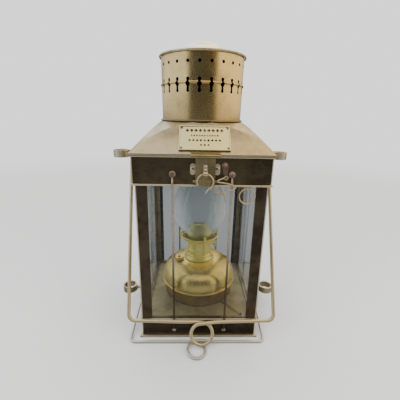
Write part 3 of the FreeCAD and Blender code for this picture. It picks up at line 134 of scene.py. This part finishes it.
def brass(name, light, dark, rough, patina=(0.42, 0.66), cloud=26.0, grain=(60, 60, 60),
          grain_depth=0.00003, spots=0.5, soil_and_shade_amount=0.75, waviness=0.0004, rim=None, upper_highlight=None,
          corner=None, outer=None, stain=None, marks=None, reach=5.0, wear=0.6, dull=0.0):
    """Aged sheet brass: cloudy tarnish, brushed grain, dark spots, soiling and painted shade where
    surfaces meet, and bright metal where edges are worn.

    rim is (height, colour): below that height the metal is worn pale to that colour.
    upper_highlight is (height, blend, colour): above that height the metal is painted lighter as a
    highlight.
    corner is (distance, colour): a painted highlight over worn metal where both sides of a square are that
    far out.
    outer is (distance, colour): the same where either side is.
    stain is (low, high, half width, strength): smoke stain between two heights at the front.
    marks is (direction, low, high): blackened between two distances along a direction.
    reach is how far from a corner the soiling and painted shade spread, in millimetres.
    wear is how strongly thin edges are worn bright.
    dull is the share of the surface that scatters light instead of mirroring it."""
    material, t = new_material(name)
    where = t.add("TexCoord").outputs["Object"]
    clouds = t.noise(where, cloud, 7.0, 0.62)
    tarnish = t.ramp(clouds, *patina)
    streaks = t.noise(t.stretched(where, grain), 14.0, 3.0, 0.6)
    colour = t.mix(tarnish, light, dark)
    paler = tuple(min(1.0, c * 1.25) for c in light)
    colour = t.mix(t.ramp(streaks, 0.45, 0.8, 0.0, 0.45), colour, paler)
    cells = t.add("TexVoronoi", {"Vector": where, "Scale": 210.0}).outputs["Distance"]
    rare = t.ramp(t.noise(where, 70.0, 3.0), 0.52, 0.62)
    dots = t.times(t.times(t.ramp(cells, 0.22, 0.1), rare), spots)
    colour = t.mix(dots, colour, SOIL_AND_SHADE)
    if rim:
        height, brighter = rim
        colour = t.mix(t.height_mask(where, height * 1.1, height * 0.9), colour, brighter)
    # Painted highlight: the metal is painted lighter above a height.
    if upper_highlight:
        height, blend, brighter = upper_highlight
        colour = t.mix(t.height_mask(where, height - blend, height + blend), colour, brighter)
    # Painted highlight over worn metal along the outer edges, where both sides or either side are far out.
    for place, operation in ((corner, "MINIMUM"), (outer, "MAXIMUM")):
        if place:
            distance, brighter = place
            x, y, z = t.add("SeparateXYZ", {0: where}).outputs
            away = t.math(operation, t.math("ABSOLUTE", x), t.math("ABSOLUTE", y))
            edge = t.ramp(away, distance - 0.3 * MM, distance + 0.3 * MM)
            colour = t.mix(edge, colour, brighter)
    if stain:
        low, high, half, strength = stain
        x, y, z = t.add("SeparateXYZ", {0: where}).outputs
        middle = t.ramp(t.math("ABSOLUTE", x), half, half * 0.5)
        smoke = t.times(t.times(middle, t.ramp(z, low, high)), t.ramp(y, 0.0, -0.03))
        colour = t.mix(t.times(smoke, strength), colour, SMOKE_STAIN)
    if marks:
        direction, low, high = marks
        along = t.add("VectorMath", {0: where, 1: direction}, operation="DOT_PRODUCT").outputs["Value"]
        black = t.times(t.ramp(along, low, low + 0.1 * MM), t.ramp(along, high, high - 0.1 * MM))
        black = t.times(black, t.ramp(t.noise(where, 500.0, 3.0), 0.3, 0.55, 0.55, 1.0))
    edge = t.add("AmbientOcclusion", {"Distance": 1.2 * MM}, samples=4, inside=True).outputs["AO"]
    rubbed_edge = t.times(t.ramp(edge, 0.62, 0.40), t.ramp(t.noise(where, 120.0, 3.0), 0.3, 0.6, 0.4, 1.0))
    colour = t.mix(t.times(rubbed_edge, wear), colour, EDGE_SHINE)
    # Soiling and painted shade: the colour darkens where surfaces meet and in recesses.
    hollow = t.add("AmbientOcclusion", {"Distance": reach * MM}, samples=6).outputs["AO"]
    soil_and_shade_mask = t.times(t.ramp(hollow, 0.75, 0.35), t.ramp(t.noise(where, 240.0, 3.0), 0.3, 0.6, 0.55, 1.0))
    soil_and_shade_mask = t.times(soil_and_shade_mask, soil_and_shade_amount)
    colour = t.mix(soil_and_shade_mask, colour, SOIL_AND_SHADE)
    if marks:
        colour = t.mix(black, colour, SOIL_AND_SHADE)
    fine = t.noise(where, 900.0, 4.0, 0.6)
    low, high = rough
    roughness = t.plus(t.ramp(clouds, 0.3, 0.75, low, high), t.ramp(fine, 0.3, 0.7, -0.04, 0.06))
    roughness = t.plus(roughness, t.times(t.plus(soil_and_shade_mask, dots), 0.3))
    normal = t.bump(t.noise(where, 16.0, 2.0), waviness, 0.7)
    normal = t.bump(streaks, grain_depth, 0.8, normal)
    normal = t.bump(t.times(fine, t.flip(dots)), 0.000012, 0.6, normal)
    shader = t.add(
        "BsdfPrincipled",
        {"Base Color": colour, "Metallic": 1.0 - dull, "Roughness": roughness, "Normal": normal},
    )
    t.add("OutputMaterial", {"Surface": shader.outputs[0]})
    return material


def clear_glass(name, tint, dust, ripple, index, sheen, sheen_roughness, upright_share=1.0,
                sheen_from=None):
    """Old clear glass: faint ripple, a film of dust, a sheen in streaks of gloss and painted white, light
    shadows.

    sheen is (straight on, at a grazing angle).
    upright_share is how much of the upward slope the sheen's normals keep.
    sheen_from is the height the sheen starts at; it is full SHEEN_BLEND above that."""
    material, t = new_material(name)
    where = t.add("TexCoord").outputs["Object"]
    normal = t.bump(t.noise(t.stretched(where, (1, 1, 0.4)), 22.0, 2.0), ripple, 0.6)
    glass = t.add(
        "BsdfPrincipled",
        {
            "Base Color": tint, "Roughness": 0.015, "IOR": index, "Transmission Weight": 1.0,
            "Normal": normal,
        },
    ).outputs[0]
    smears = t.ramp(t.noise(t.stretched(where, (1, 1, 0.35)), 34.0, 6.0, 0.7), 0.45, 0.8)
    specks = t.ramp(t.noise(where, 700.0, 2.0), 0.68, 0.76)
    film = t.times(t.plus(t.times(smears, 0.7), t.times(specks, 0.8)), dust)
    true_normal = t.add("NewGeometry").outputs["Normal"]
    flattened = {0: true_normal, 1: (1.0, 1.0, upright_share)}
    upright = t.add("VectorMath", flattened, operation="MULTIPLY").outputs[0]
    upright = t.add("VectorMath", {0: upright}, operation="NORMALIZE").outputs[0]
    streaks = t.noise(t.stretched(where, (1, 1, 0.12)), 60.0, 3.0)
    gloss = t.add(
        "BsdfGlossy",
        {
            "Color": (1.0, 1.0, 1.0), "Roughness": sheen_roughness,
            "Normal": t.bump(streaks, ripple, 0.5, upright),
        },
    )
    # Painted reflection: a diffuse white mixed into the sheen stands in for bright reflections on the
    # sides.
    painted_sheen = t.add("BsdfDiffuse", {"Color": PAINTED_SHEEN_WHITE, "Normal": upright}).outputs[0]
    share = t.ramp(streaks, 0.35, 0.65, 0.45, 0.85)
    veil = t.add("MixShader", {0: share, 1: gloss.outputs[0], 2: painted_sheen}).outputs[0]
    facing = t.add("LayerWeight", {"Blend": 0.35, "Normal": upright}).outputs["Facing"]
    amount = t.ramp(facing, 0.06, 0.30, *sheen)
    if sheen_from:
        amount = t.times(amount, t.height_mask(where, sheen_from, sheen_from + SHEEN_BLEND))
    glass = t.add("MixShader", {0: amount, 1: glass, 2: veil}).outputs[0]
    powder = t.add("BsdfDiffuse", {"Color": POWDER}).outputs[0]
    surface = t.add("MixShader", {0: film, 1: glass, 2: powder}).outputs[0]
    shadow = t.add("LightPath").outputs["Is Shadow Ray"]
    thin = t.add("BsdfTransparent", {"Color": GLASS_SHADOW}).outputs[0]
    surface = t.add("MixShader", {0: shadow, 1: surface, 2: thin}).outputs[0]
    t.add("OutputMaterial", {"Surface": surface})
    return material


def cotton():
    """Plain woven cotton, scorched towards the wick's tip."""
    material, t = new_material("wick_cotton")
    where = t.add("TexCoord").outputs["Object"]
    threads = t.add("TexWave", {"Vector": where, "Scale": 320.0, "Distortion": 1.5}, bands_direction="X")
    picks = t.add("TexWave", {"Vector": where, "Scale": 300.0, "Distortion": 1.5}, bands_direction="Z")
    weave = t.times(threads.outputs[1], picks.outputs[1])
    colour = t.mix(weave, (0.55, 0.51, 0.42), (0.86, 0.84, 0.76))
    low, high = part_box("wick")
    char = t.times(t.height_mask(where, high.z - 1.6 * MM, high.z), 0.35)
    colour = t.mix(char, colour, CHAR)
    shader = t.add(
        "BsdfPrincipled",
        {"Base Color": colour, "Roughness": 0.9, "Normal": t.bump(weave, 0.0003, 0.8)},
    )
    t.add("OutputMaterial", {"Surface": shader.outputs[0]})
    return material


# Pale worn brass; on the band's corner edges it is also a painted highlight.
RUBBED_AND_HIGHLIGHT = (0.90, 0.79, 0.56)
# The hood's front slope rises 41 mm over a run of 36.8 mm; the plate's field lies 2.2 mm off it.
PLATE_NORMAL = Vector((0.0, -41.0, 36.8)).normalized()
PLATE_FIELD = PLATE_NORMAL.dot(Vector((0.0, -100.4 * MM, 309.0 * MM))) + 2.2 * MM
# The base tray, band and posts get a painted highlight over worn metal along their outer corner edges.
DARK_BRONZE = brass(
    "dark_bronze", (0.095, 0.080, 0.058), (0.052, 0.044, 0.034), (0.32, 0.48), grain=(70, 70, 4),
    rim=(3.4 * MM, RUBBED_AND_HIGHLIGHT), corner=(93.2 * MM, (0.62, 0.53, 0.38)),
)
BAND_BRONZE = brass(
    "band_bronze", (0.17, 0.135, 0.082), (0.08, 0.063, 0.040), (0.26, 0.42), grain=(6, 6, 90),
    corner=(96.6 * MM, RUBBED_AND_HIGHLIGHT),
)
POST_BRONZE = brass(
    "post_bronze", (0.125, 0.098, 0.066), (0.065, 0.052, 0.038), (0.30, 0.46), grain=(90, 90, 5),
    corner=(93.3 * MM, (0.90, 0.79, 0.60)),
)
STRIP_BRASS = brass("strip_brass", (0.34, 0.27, 0.13), (0.18, 0.14, 0.07), (0.28, 0.42))
EDGE_BRASS = brass(
    "edge_brass", (1.0, 0.90, 0.68), (0.80, 0.69, 0.48), (0.34, 0.46), patina=(0.56, 0.84), soil_and_shade_amount=0.3,
    reach=2.0,
)
# The flange gets a painted highlight over worn metal along its outer edge.
FLANGE_BRASS = brass(
    "flange_brass", (0.34, 0.29, 0.19), (0.20, 0.165, 0.105), (0.34, 0.5),
    outer=(95.6 * MM, (0.66, 0.57, 0.40)),
)
HOOD_BRASS = brass(
    "hood_brass", (0.64, 0.51, 0.27), (0.45, 0.34, 0.165), (0.26, 0.38), patina=(0.42, 0.74),
    cloud=16.0, grain=(50, 50, 6), waviness=0.0009, soil_and_shade_amount=0.55, spots=0.3,
    stain=(0.316, 0.338, 0.092, 0.75), wear=0.4,
)
CHIMNEY_BRASS = brass(
    "chimney_brass", (0.78, 0.59, 0.26), (0.53, 0.40, 0.16), (0.20, 0.31), patina=(0.44, 0.76),
    cloud=18.0, grain=(90, 90, 3), grain_depth=0.00001, soil_and_shade_amount=0.5, spots=0.25, wear=0.45,
)
# Painted highlight: the cap's brass is near white, standing in for the bright reflection on its dome.
HIGHLIT_CAP_BRASS = brass(
    "highlit_cap_brass", (1.0, 0.95, 0.88), (0.82, 0.73, 0.60), (0.30, 0.42), patina=(0.55, 0.85), cloud=22.0,
    grain=(8, 8, 60), spots=0.25,
)
LIP_BRASS = brass(
    "lip_brass", (0.76, 0.65, 0.45), (0.50, 0.41, 0.26), (0.24, 0.40), patina=(0.48, 0.74), soil_and_shade_amount=0.5,
    reach=2.0,
)
RIM_BRASS = brass("rim_brass", (0.84, 0.72, 0.48), (0.50, 0.41, 0.26), (0.25, 0.4), soil_and_shade_amount=0.4, reach=2.0)
SOOT = brass("soot", (0.012, 0.010, 0.008), (0.006, 0.005, 0.004), (0.6, 0.8), wear=0.0)
PLATE_BRASS = brass(
    "plate_brass", (0.96, 0.86, 0.46), (0.80, 0.67, 0.31), (0.26, 0.38), patina=(0.5, 0.8),
    grain=(6, 70, 70), soil_and_shade_amount=1.0, spots=0.3, reach=1.6, wear=0.0,
    marks=(PLATE_NORMAL, PLATE_FIELD + 0.25 * MM, PLATE_FIELD + 0.70 * MM),
)
HASP_BRASS = brass("hasp_brass", (0.48, 0.40, 0.22), (0.26, 0.21, 0.115), (0.28, 0.42), reach=3.0)
KEEPER_BRASS = brass("keeper_brass", (0.94, 0.83, 0.58), (0.68, 0.56, 0.36), (0.24, 0.36), reach=2.0)
WIRE_BRASS = brass(
    "wire_brass", (0.84, 0.71, 0.44), (0.62, 0.50, 0.29), (0.38, 0.50), cloud=40.0, grain=(40, 40, 40),
    patina=(0.56, 0.86), soil_and_shade_amount=0.7,
)
GREY_WIRE = brass(
    "grey_wire", (0.80, 0.78, 0.72), (0.60, 0.575, 0.51), (0.40, 0.54), cloud=45.0, grain=(40, 40, 40),
    patina=(0.54, 0.84), soil_and_shade_amount=0.7,
)
# The guard rods are painted lighter towards the top as a highlight.
ROD_BRONZE = brass(
    "rod_bronze", (0.17, 0.115, 0.09), (0.09, 0.06, 0.048), (0.18, 0.32), cloud=30.0, grain=(80, 80, 5),
    upper_highlight=(0.150, 0.045, (0.66, 0.54, 0.45)),
)
SCREW_BRONZE = brass(
    "screw_bronze", (0.36, 0.24, 0.195), (0.16, 0.105, 0.085), (0.25, 0.4), soil_and_shade_amount=0.9, wear=0.9,
)
RIVET_BRASS = brass("rivet_brass", (0.62, 0.50, 0.38), (0.34, 0.26, 0.20), (0.25, 0.4), wear=0.9)
LUG_BRASS = brass(
    "lug_brass", (1.0, 0.89, 0.64), (0.72, 0.60, 0.40), (0.30, 0.44), patina=(0.52, 0.78), cloud=38.0,
    reach=3.0,
)
# Painted shade: the lower lugs get a darker copy of the lug brass, as if in shadow.
SHADED_LUG_BRASS = brass(
    "shaded_lug_brass", (0.56, 0.49, 0.35), (0.34, 0.29, 0.20), (0.32, 0.46), cloud=38.0, reach=3.0,
)
FLOOR_BRASS = brass(
    "floor_brass", (0.66, 0.56, 0.33), (0.48, 0.40, 0.22), (0.56, 0.70), cloud=30.0, grain=(6, 60, 60),
    waviness=0.0002,
)
LAMP_BRASS = brass(
    "lamp_brass", (0.88, 0.66, 0.20), (0.68, 0.49, 0.125), (0.24, 0.34), patina=(0.48, 0.78), cloud=26.0,
    grain=(8, 8, 70), soil_and_shade_amount=0.6, waviness=0.0005, dull=0.04, wear=0.12,
)
FOOT_BRASS = brass(
    "foot_brass", (0.36, 0.25, 0.06), (0.24, 0.165, 0.035), (0.28, 0.40), cloud=26.0, grain=(8, 8, 70),
    dull=0.05, wear=0.05,
)
BURNER_BRASS = brass(
    "burner_brass", (1.0, 0.86, 0.24), (0.84, 0.66, 0.15), (0.28, 0.40), patina=(0.5, 0.8), cloud=60.0,
    grain=(8, 8, 70), soil_and_shade_amount=0.9, reach=3.0, dull=0.08, wear=0.12,
)
PANE_GLASS = clear_glass("pane_glass", (0.80, 0.84, 0.86), 0.014, 0.0002, 1.35, (0.0, 0.012), 0.06)
GLOBE_GLASS = clear_glass(
    "globe_glass", (0.66, 0.69, 0.70), 0.02, 0.0003, 1.06, (0.02, 0.92), 0.16, upright_share=0.10,
    sheen_from=0.154,
)
WICK_COTTON = cotton()

FINISHES = {
    DARK_BRONZE: "base_tray",
    BAND_BRONZE: "top_band hinge_leaf_body hinge_pin",
    POST_BRONZE: "corner_posts pane_head_rail",
    STRIP_BRASS: "glass_corner_strips",
    EDGE_BRASS: "band_bead band_rim",
    LIP_BRASS: "hood_lip hinge_leaf_hood",
    FLANGE_BRASS: "base_flange",
    HOOD_BRASS: "hood_shell chimney_collar",
    CHIMNEY_BRASS: "chimney_tube",
    SOOT: "smoke_baffle",
    HIGHLIT_CAP_BRASS: "chimney_cap",
    RIM_BRASS: "cap_rim",
    PLATE_BRASS: "nameplate",
    HASP_BRASS: "hasp_plate hasp_leaf hasp_hinge_pin",
    KEEPER_BRASS: "hasp_keeper pull_ring_staple side_eyes",
    WIRE_BRASS: "upper_bail hasp_ring pull_ring hair_pin safety_chain",
    GREY_WIRE: "lower_bail",
    ROD_BRONZE: "guard_rods",
    SCREW_BRONZE: "band_screws hood_rivets chain_tag",
    RIVET_BRASS: "body_rivets",
    LUG_BRASS: "upper_lug_left upper_lug_right",
    SHADED_LUG_BRASS: "lower_lug_left lower_lug_right",
    FLOOR_BRASS: "floor_plate",
    LAMP_BRASS: "font_body filler_cap",
    FOOT_BRASS: "font_foot lamp_straps",
    BURNER_BRASS: (
        "font_collar burner_body gallery gallery_prongs burner_cone wick_tube wick_spindle wick_knob"
    ),
    PANE_GLASS: "pane_front pane_right pane_rear pane_left",
    GLOBE_GLASS: "glass_globe",
    WICK_COTTON: "wick",
}
for finish, names in FINISHES.items():
    for name in names.split():
        for slot in NODES[name].material_slots:
            slot.material = finish


# ---- pieces built as meshes ----------------------------------------------------------------------
def ring_mesh(rings, closed):
    """Faces between successive rings of points; the ends are capped unless the path is closed."""
    count = len(rings[0])
    points = [p for ring in rings for p in ring]
    faces = []
    last = len(rings) if closed else len(rings) - 1
    for i in range(last):
        a, b = i * count, (i + 1) % len(rings) * count
        for k in range(count):
            m = (k + 1) % count
            faces.append((a + k, a + m, b + m, b + k))
    if not closed:
        faces.append(tuple(range(count))[::-1])
        faces.append(tuple(range(len(points) - count, len(points))))
    return points, faces


def wire_rings(path, radius, closed=False, sides=14):
    """Rings of points round a path, turned as little as possible from one to the next."""
    rings = []
    across = None
    for i, p in enumerate(path):
        before = path[i - 1] if i or closed else p
        after = path[(i + 1) % len(path)] if i + 1 < len(path) or closed else p
        ahead = (after - before).normalized()
        if across is None:
            across = ahead.orthogonal().normalized()
        across = (across - ahead * across.dot(ahead)).normalized()
        above = ahead.cross(across)
        ring = []
        for k in range(sides):
            turn = 2 * math.pi * k / sides
            ring.append(p + (across * math.cos(turn) + above * math.sin(turn)) * radius)
        rings.append(ring)
    return rings


def smooth_line(knots, steps=8):
    """Points on a smooth curve through the knots (Catmull-Rom)."""
    points = []
    for i in range(len(knots) - 1):
        p1, p2 = knots[i], knots[i + 1]
        p0 = knots[i - 1] if i else p1 * 2 - p2
        p3 = knots[i + 2] if i + 2 < len(knots) else p2 * 2 - p1
        for k in range(steps):
            u = k / steps
            points.append(
                0.5 * (2 * p1 + (p2 - p0) * u + (2 * p0 - 5 * p1 + 4 * p2 - p3) * u * u
                       + (3 * p1 - p0 - 3 * p2 + p3) * u ** 3)
            )
    points.append(knots[-1])
    return points


def piece(name, parts, material, body, nodes):
    """One object from several (points, faces) pairs, riding a body and standing in for CAD nodes."""
    points, faces = [], []
    for some_points, some_faces in parts:
        start = len(points)
        points += [tuple(p) for p in some_points]
        faces += [tuple(start + k for k in face) for face in some_faces]
    mesh = bpy.data.meshes.new(name)
    mesh.from_pydata(points, [], faces)
    for polygon in mesh.polygons:
        polygon.use_smooth = True
    mesh.materials.append(material)
    made = bpy.data.objects.new(name, mesh)
    bpy.context.scene.collection.objects.link(made)
    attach(made, body)
    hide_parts(*nodes)


TAG_STUD = Vector((33.0, -101.1, 276.5))
PIN_WIRE = 0.92 * MM
COLLAR_PROFILE = [(1.55, -0.75), (3.0, -0.75), (3.2, -0.45), (3.2, 0.35), (2.9, 0.65), (1.55, 0.65)]
TURN_STEPS = 28
LINKS = 5
LINK_HALF_LENGTH, LINK_HALF_WIDTH, LINK_WIRE = 2.15, 1.35, 0.42 * MM
FIRST_LINK = Vector((-3.4, 3.3, -21.0))
LINK_STEP = Vector((-2.75, 0.0, 0.62))
WICK_ROWS, WICK_COLUMNS = 60, 33
RAGGED = 0.25 * MM
CHAR_LOSS = 0.3 * MM


def full_turn(steps):
    """Evenly spaced angles once round."""
    return [2 * math.pi * k / steps for k in range(steps)]


def at_tag(x, out, z):
    """Point given in millimetres from the stud that carries the hair pin: right, outward, up."""
    return (TAG_STUD + Vector((x, -out, z))) * MM


def hair_pin():
    """Wire pin on a collar: a bowed upper leg, a blunt tip and a straight lower leg with a curled end."""
    knots = (
        (-2.6, 0.2, 0.3), (-6.0, 2.0, -0.8), (-11.4, 3.3, -2.8), (-11.8, 3.5, -4.9), (-8.6, 3.4, -5.7),
        (-4.0, 3.3, -6.2), (5.0, 3.3, -8.0), (11.4, 3.3, -9.9), (13.5, 3.3, -12.0), (12.2, 3.3, -14.2),
        (6.8, 3.3, -16.4), (1.5, 3.3, -18.4), (-2.0, 3.3, -20.2), (-2.6, 3.4, -22.0), (-1.0, 3.6, -22.9),
        (0.4, 3.9, -21.8),
    )
    path = smooth_line([at_tag(*knot) for knot in knots])
    wire = ring_mesh(wire_rings(path, PIN_WIRE), False)
    rings = []
    for turn in full_turn(TURN_STEPS):
        rings.append(
            [at_tag(r * math.cos(turn), out, r * math.sin(turn)) for r, out in COLLAR_PROFILE]
        )
    collar = ring_mesh(rings, True)
    piece("hair_pin_wire", [wire, collar], WIRE_BRASS, "clasp_pin", ["hair_pin"])


def chain():
    """Oval links, each passed through the next, hanging from the pin's curled end."""
    parts = []
    for k in range(LINKS):
        centre = FIRST_LINK + k * LINK_STEP
        flat = k % 2
        path = []
        for turn in full_turn(TURN_STEPS):
            long = LINK_HALF_LENGTH * math.cos(turn)
            short = LINK_HALF_WIDTH * math.sin(turn)
            offset = (long, short, 0.0) if flat else (long, 0.0, short)
            path.append(at_tag(*(centre + Vector(offset))))
        parts.append(ring_mesh(wire_rings(path, LINK_WIRE, closed=True, sides=10), True))
    piece("safety_chain_links", parts, WIRE_BRASS, "clasp_pin", ["safety_chain"])


def woven_wick():
    """Flat wick with ribbed faces and a scorched, slightly ragged top edge."""
    low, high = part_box("wick")
    centre = (low + high) / 2
    half_x, half_y = (high.x - low.x) / 2, (high.y - low.y) / 2
    rings = []
    for i in range(WICK_ROWS + 1):
        level = low.z + (high.z - low.z) * i / WICK_ROWS
        ring = []
        for side in (-1, 1):
            for j in range(WICK_COLUMNS):
                across = (2 * j / (WICK_COLUMNS - 1) - 1) * -side
                rib = 0.5 + 0.5 * math.cos(math.pi * (WICK_COLUMNS - 1) / 2 * across)
                depth = half_y * (0.80 + 0.17 * rib) * (1 - 0.55 * abs(across) ** 6)
                x = centre.x + half_x * 0.985 * across
                z = level
                if i == WICK_ROWS:
                    z += RAGGED * math.sin(37.0 * across + 2.0 * side) - CHAR_LOSS
                ring.append(Vector((x, centre.y + side * depth, z)))
        rings.append(ring)
    piece("wick_weave", [ring_mesh(rings, False)], WICK_COTTON, "wick", ["wick"])


hair_pin()
chain()
woven_wick()


# ---- stage, light and camera ---------------------------------------------------------------------
BACKDROP = (1.5, 1.5, 1.49)
FLOOR_REACH = 30.0
FLOOR_IN_METAL = (0.05, 0.05, 0.045)
BACKDROP_IN_METAL = (0.10, 0.10, 0.09)
FADE_START, FADE_END = 0.5, 2.4
DIM_FRONT = 0.045
COOL_BOX, WARM_BOX = (0.93, 0.95, 1.0), (1.18, 1.0, 0.72)
LIGHT_AIM = Vector((0, 0, 0.2))
CAMERA_PLACE = (-0.0126, -0.4637, 0.3574)
CAMERA_PITCH, CAMERA_YAW, CAMERA_ROLL = 17.31, 1.58, 1.152
CAMERA_LENS, CAMERA_SENSOR = 24.20, 36.0


def floor():
    """Pale floor that fades into the backdrop; in the metal's reflections it is dimmer."""
    mesh = bpy.data.meshes.new("floor")
    reach = FLOOR_REACH
    corners = [(-reach, -reach, 0), (reach, -reach, 0), (reach, reach, 0), (-reach, reach, 0)]
    mesh.from_pydata(corners, [], [(0, 1, 2, 3)])
    material, t = new_material("pale_floor")
    where = t.add("TexCoord").outputs["Object"]
    grain = t.noise(where, 60.0, 5.0)
    colour = t.mix(grain, (0.82, 0.82, 0.815), (0.87, 0.87, 0.865))
    glossy = t.add("LightPath").outputs["Is Glossy Ray"]
    dim = t.mix(t.times(glossy, 0.72), colour, FLOOR_IN_METAL)
    shader = t.add(
        "BsdfPrincipled",
        {"Base Color": dim, "Roughness": 0.75, "Normal": t.bump(grain, 0.0002, 0.3)},
    ).outputs[0]
    backdrop = t.mix(glossy, BACKDROP, BACKDROP_IN_METAL)
    glow = t.add("Emission", {"Color": backdrop, "Strength": 1.0}).outputs[0]
    away = t.add("VectorMath", {0: where}, operation="LENGTH").outputs["Value"]
    shader = t.add("MixShader", {0: t.ramp(away, FADE_START, FADE_END), 1: shader, 2: glow}).outputs[0]
    t.add("OutputMaterial", {"Surface": shader})
    mesh.materials.append(material)
    floor_object = bpy.data.objects.new("floor", mesh)
    bpy.context.scene.collection.objects.link(floor_object)


def studio():
    """Even pale surround; metal sees soft boxes at the sides, overhead and low behind, and a dim front."""
    world = bpy.data.worlds.new("studio")
    bpy.context.scene.world = world
    t = Tree(world)
    direction = t.add("TexCoord").outputs["Generated"]
    x, y, z = t.add("SeparateXYZ", {0: direction}).outputs
    angle = t.math("ARCTAN2", x, t.times(y, -1.0))
    aside = t.math("ABSOLUTE", angle)
    side = t.ramp(aside, math.radians(36), math.radians(43))
    side = t.times(side, t.ramp(aside, math.radians(175), math.radians(110), 0.35, 1.0))
    top = t.ramp(z, math.sin(math.radians(28)), math.sin(math.radians(52)))
    top = t.times(top, t.ramp(z, math.sin(math.radians(77)), math.sin(math.radians(86)), 1.0, 0.5))
    behind = t.ramp(aside, math.radians(135), math.radians(160))
    behind = t.times(behind, t.ramp(z, math.sin(math.radians(18)), math.sin(math.radians(30))))
    behind = t.times(behind, t.ramp(z, math.sin(math.radians(64)), math.sin(math.radians(50))))
    warm = t.ramp(angle, -0.3, 0.3)
    box_colour = t.mix(warm, COOL_BOX, WARM_BOX)
    level = t.math("MAXIMUM", t.times(side, 1.05), t.times(top, 0.95))
    level = t.math("MAXIMUM", level, t.times(behind, 2.0))
    low = t.ramp(z, -0.6, -0.1, 0.45, 1.0)
    level = t.plus(t.times(t.times(level, low), 1.1), DIM_FRONT)
    boxes = t.mix(1.0, box_colour, level, "MULTIPLY")
    glossy = t.add("LightPath").outputs["Is Glossy Ray"]
    diffuse = t.add("LightPath").outputs["Is Diffuse Ray"]
    plain = t.mix(diffuse, BACKDROP, (1.0, 1.0, 0.995))
    colour = t.mix(glossy, plain, boxes)
    background = t.add("Background", {"Color": colour, "Strength": 1.0}).outputs[0]
    t.add("OutputWorld", {"Surface": background})


def soft_box(name, place, size, power, colour):
    """Square area light aimed at the middle of the lantern, unseen in the metal and the glass."""
    light = bpy.data.lights.new(name, "AREA")
    light.shape = "RECTANGLE"
    light.size, light.size_y = size
    light.energy = power
    light.color = colour
    light_object = bpy.data.objects.new(name, light)
    light_object.location = place
    aim = LIGHT_AIM - light_object.location
    light_object.rotation_euler = aim.to_track_quat("-Z", "Y").to_euler()
    light_object.visible_glossy = False
    light_object.visible_camera = False
    light_object.visible_transmission = False
    bpy.context.scene.collection.objects.link(light_object)


def camera():
    """Above the band, close before the front, looking down a little; 24 mm on a full frame."""
    pitch, yaw, roll = (math.radians(a) for a in (CAMERA_PITCH, CAMERA_YAW, CAMERA_ROLL))
    right = Vector((math.cos(yaw), -math.sin(yaw), 0))
    forward = Vector((math.sin(yaw) * math.cos(pitch), math.cos(yaw) * math.cos(pitch), -math.sin(pitch)))
    up = Vector((math.sin(yaw) * math.sin(pitch), math.cos(yaw) * math.sin(pitch), math.cos(pitch)))
    across = right * math.cos(roll) + up * math.sin(roll)
    above = up * math.cos(roll) - right * math.sin(roll)
    data = bpy.data.cameras.new("camera")
    data.lens = CAMERA_LENS
    data.sensor_width = CAMERA_SENSOR
    data.clip_start = 0.01
    data.clip_end = 50.0
    camera_object = bpy.data.objects.new("camera", data)
    rotation = Matrix((across, above, -forward)).transposed().to_4x4()
    camera_object.matrix_world = Matrix.Translation(CAMERA_PLACE) @ rotation
    bpy.context.scene.collection.objects.link(camera_object)
    bpy.context.scene.camera = camera_object


floor()
studio()
soft_box("key_light", (-1.1, -1.0, 1.3), (1.2, 1.2), 16.0, (0.97, 0.98, 1.0))
soft_box("fill_light", (1.2, -0.8, 1.0), (1.2, 1.2), 11.0, (1.0, 0.95, 0.86))
soft_box("top_light", (0.0, 0.3, 1.9), (1.6, 1.6), 14.0, (1.0, 1.0, 1.0))
camera()
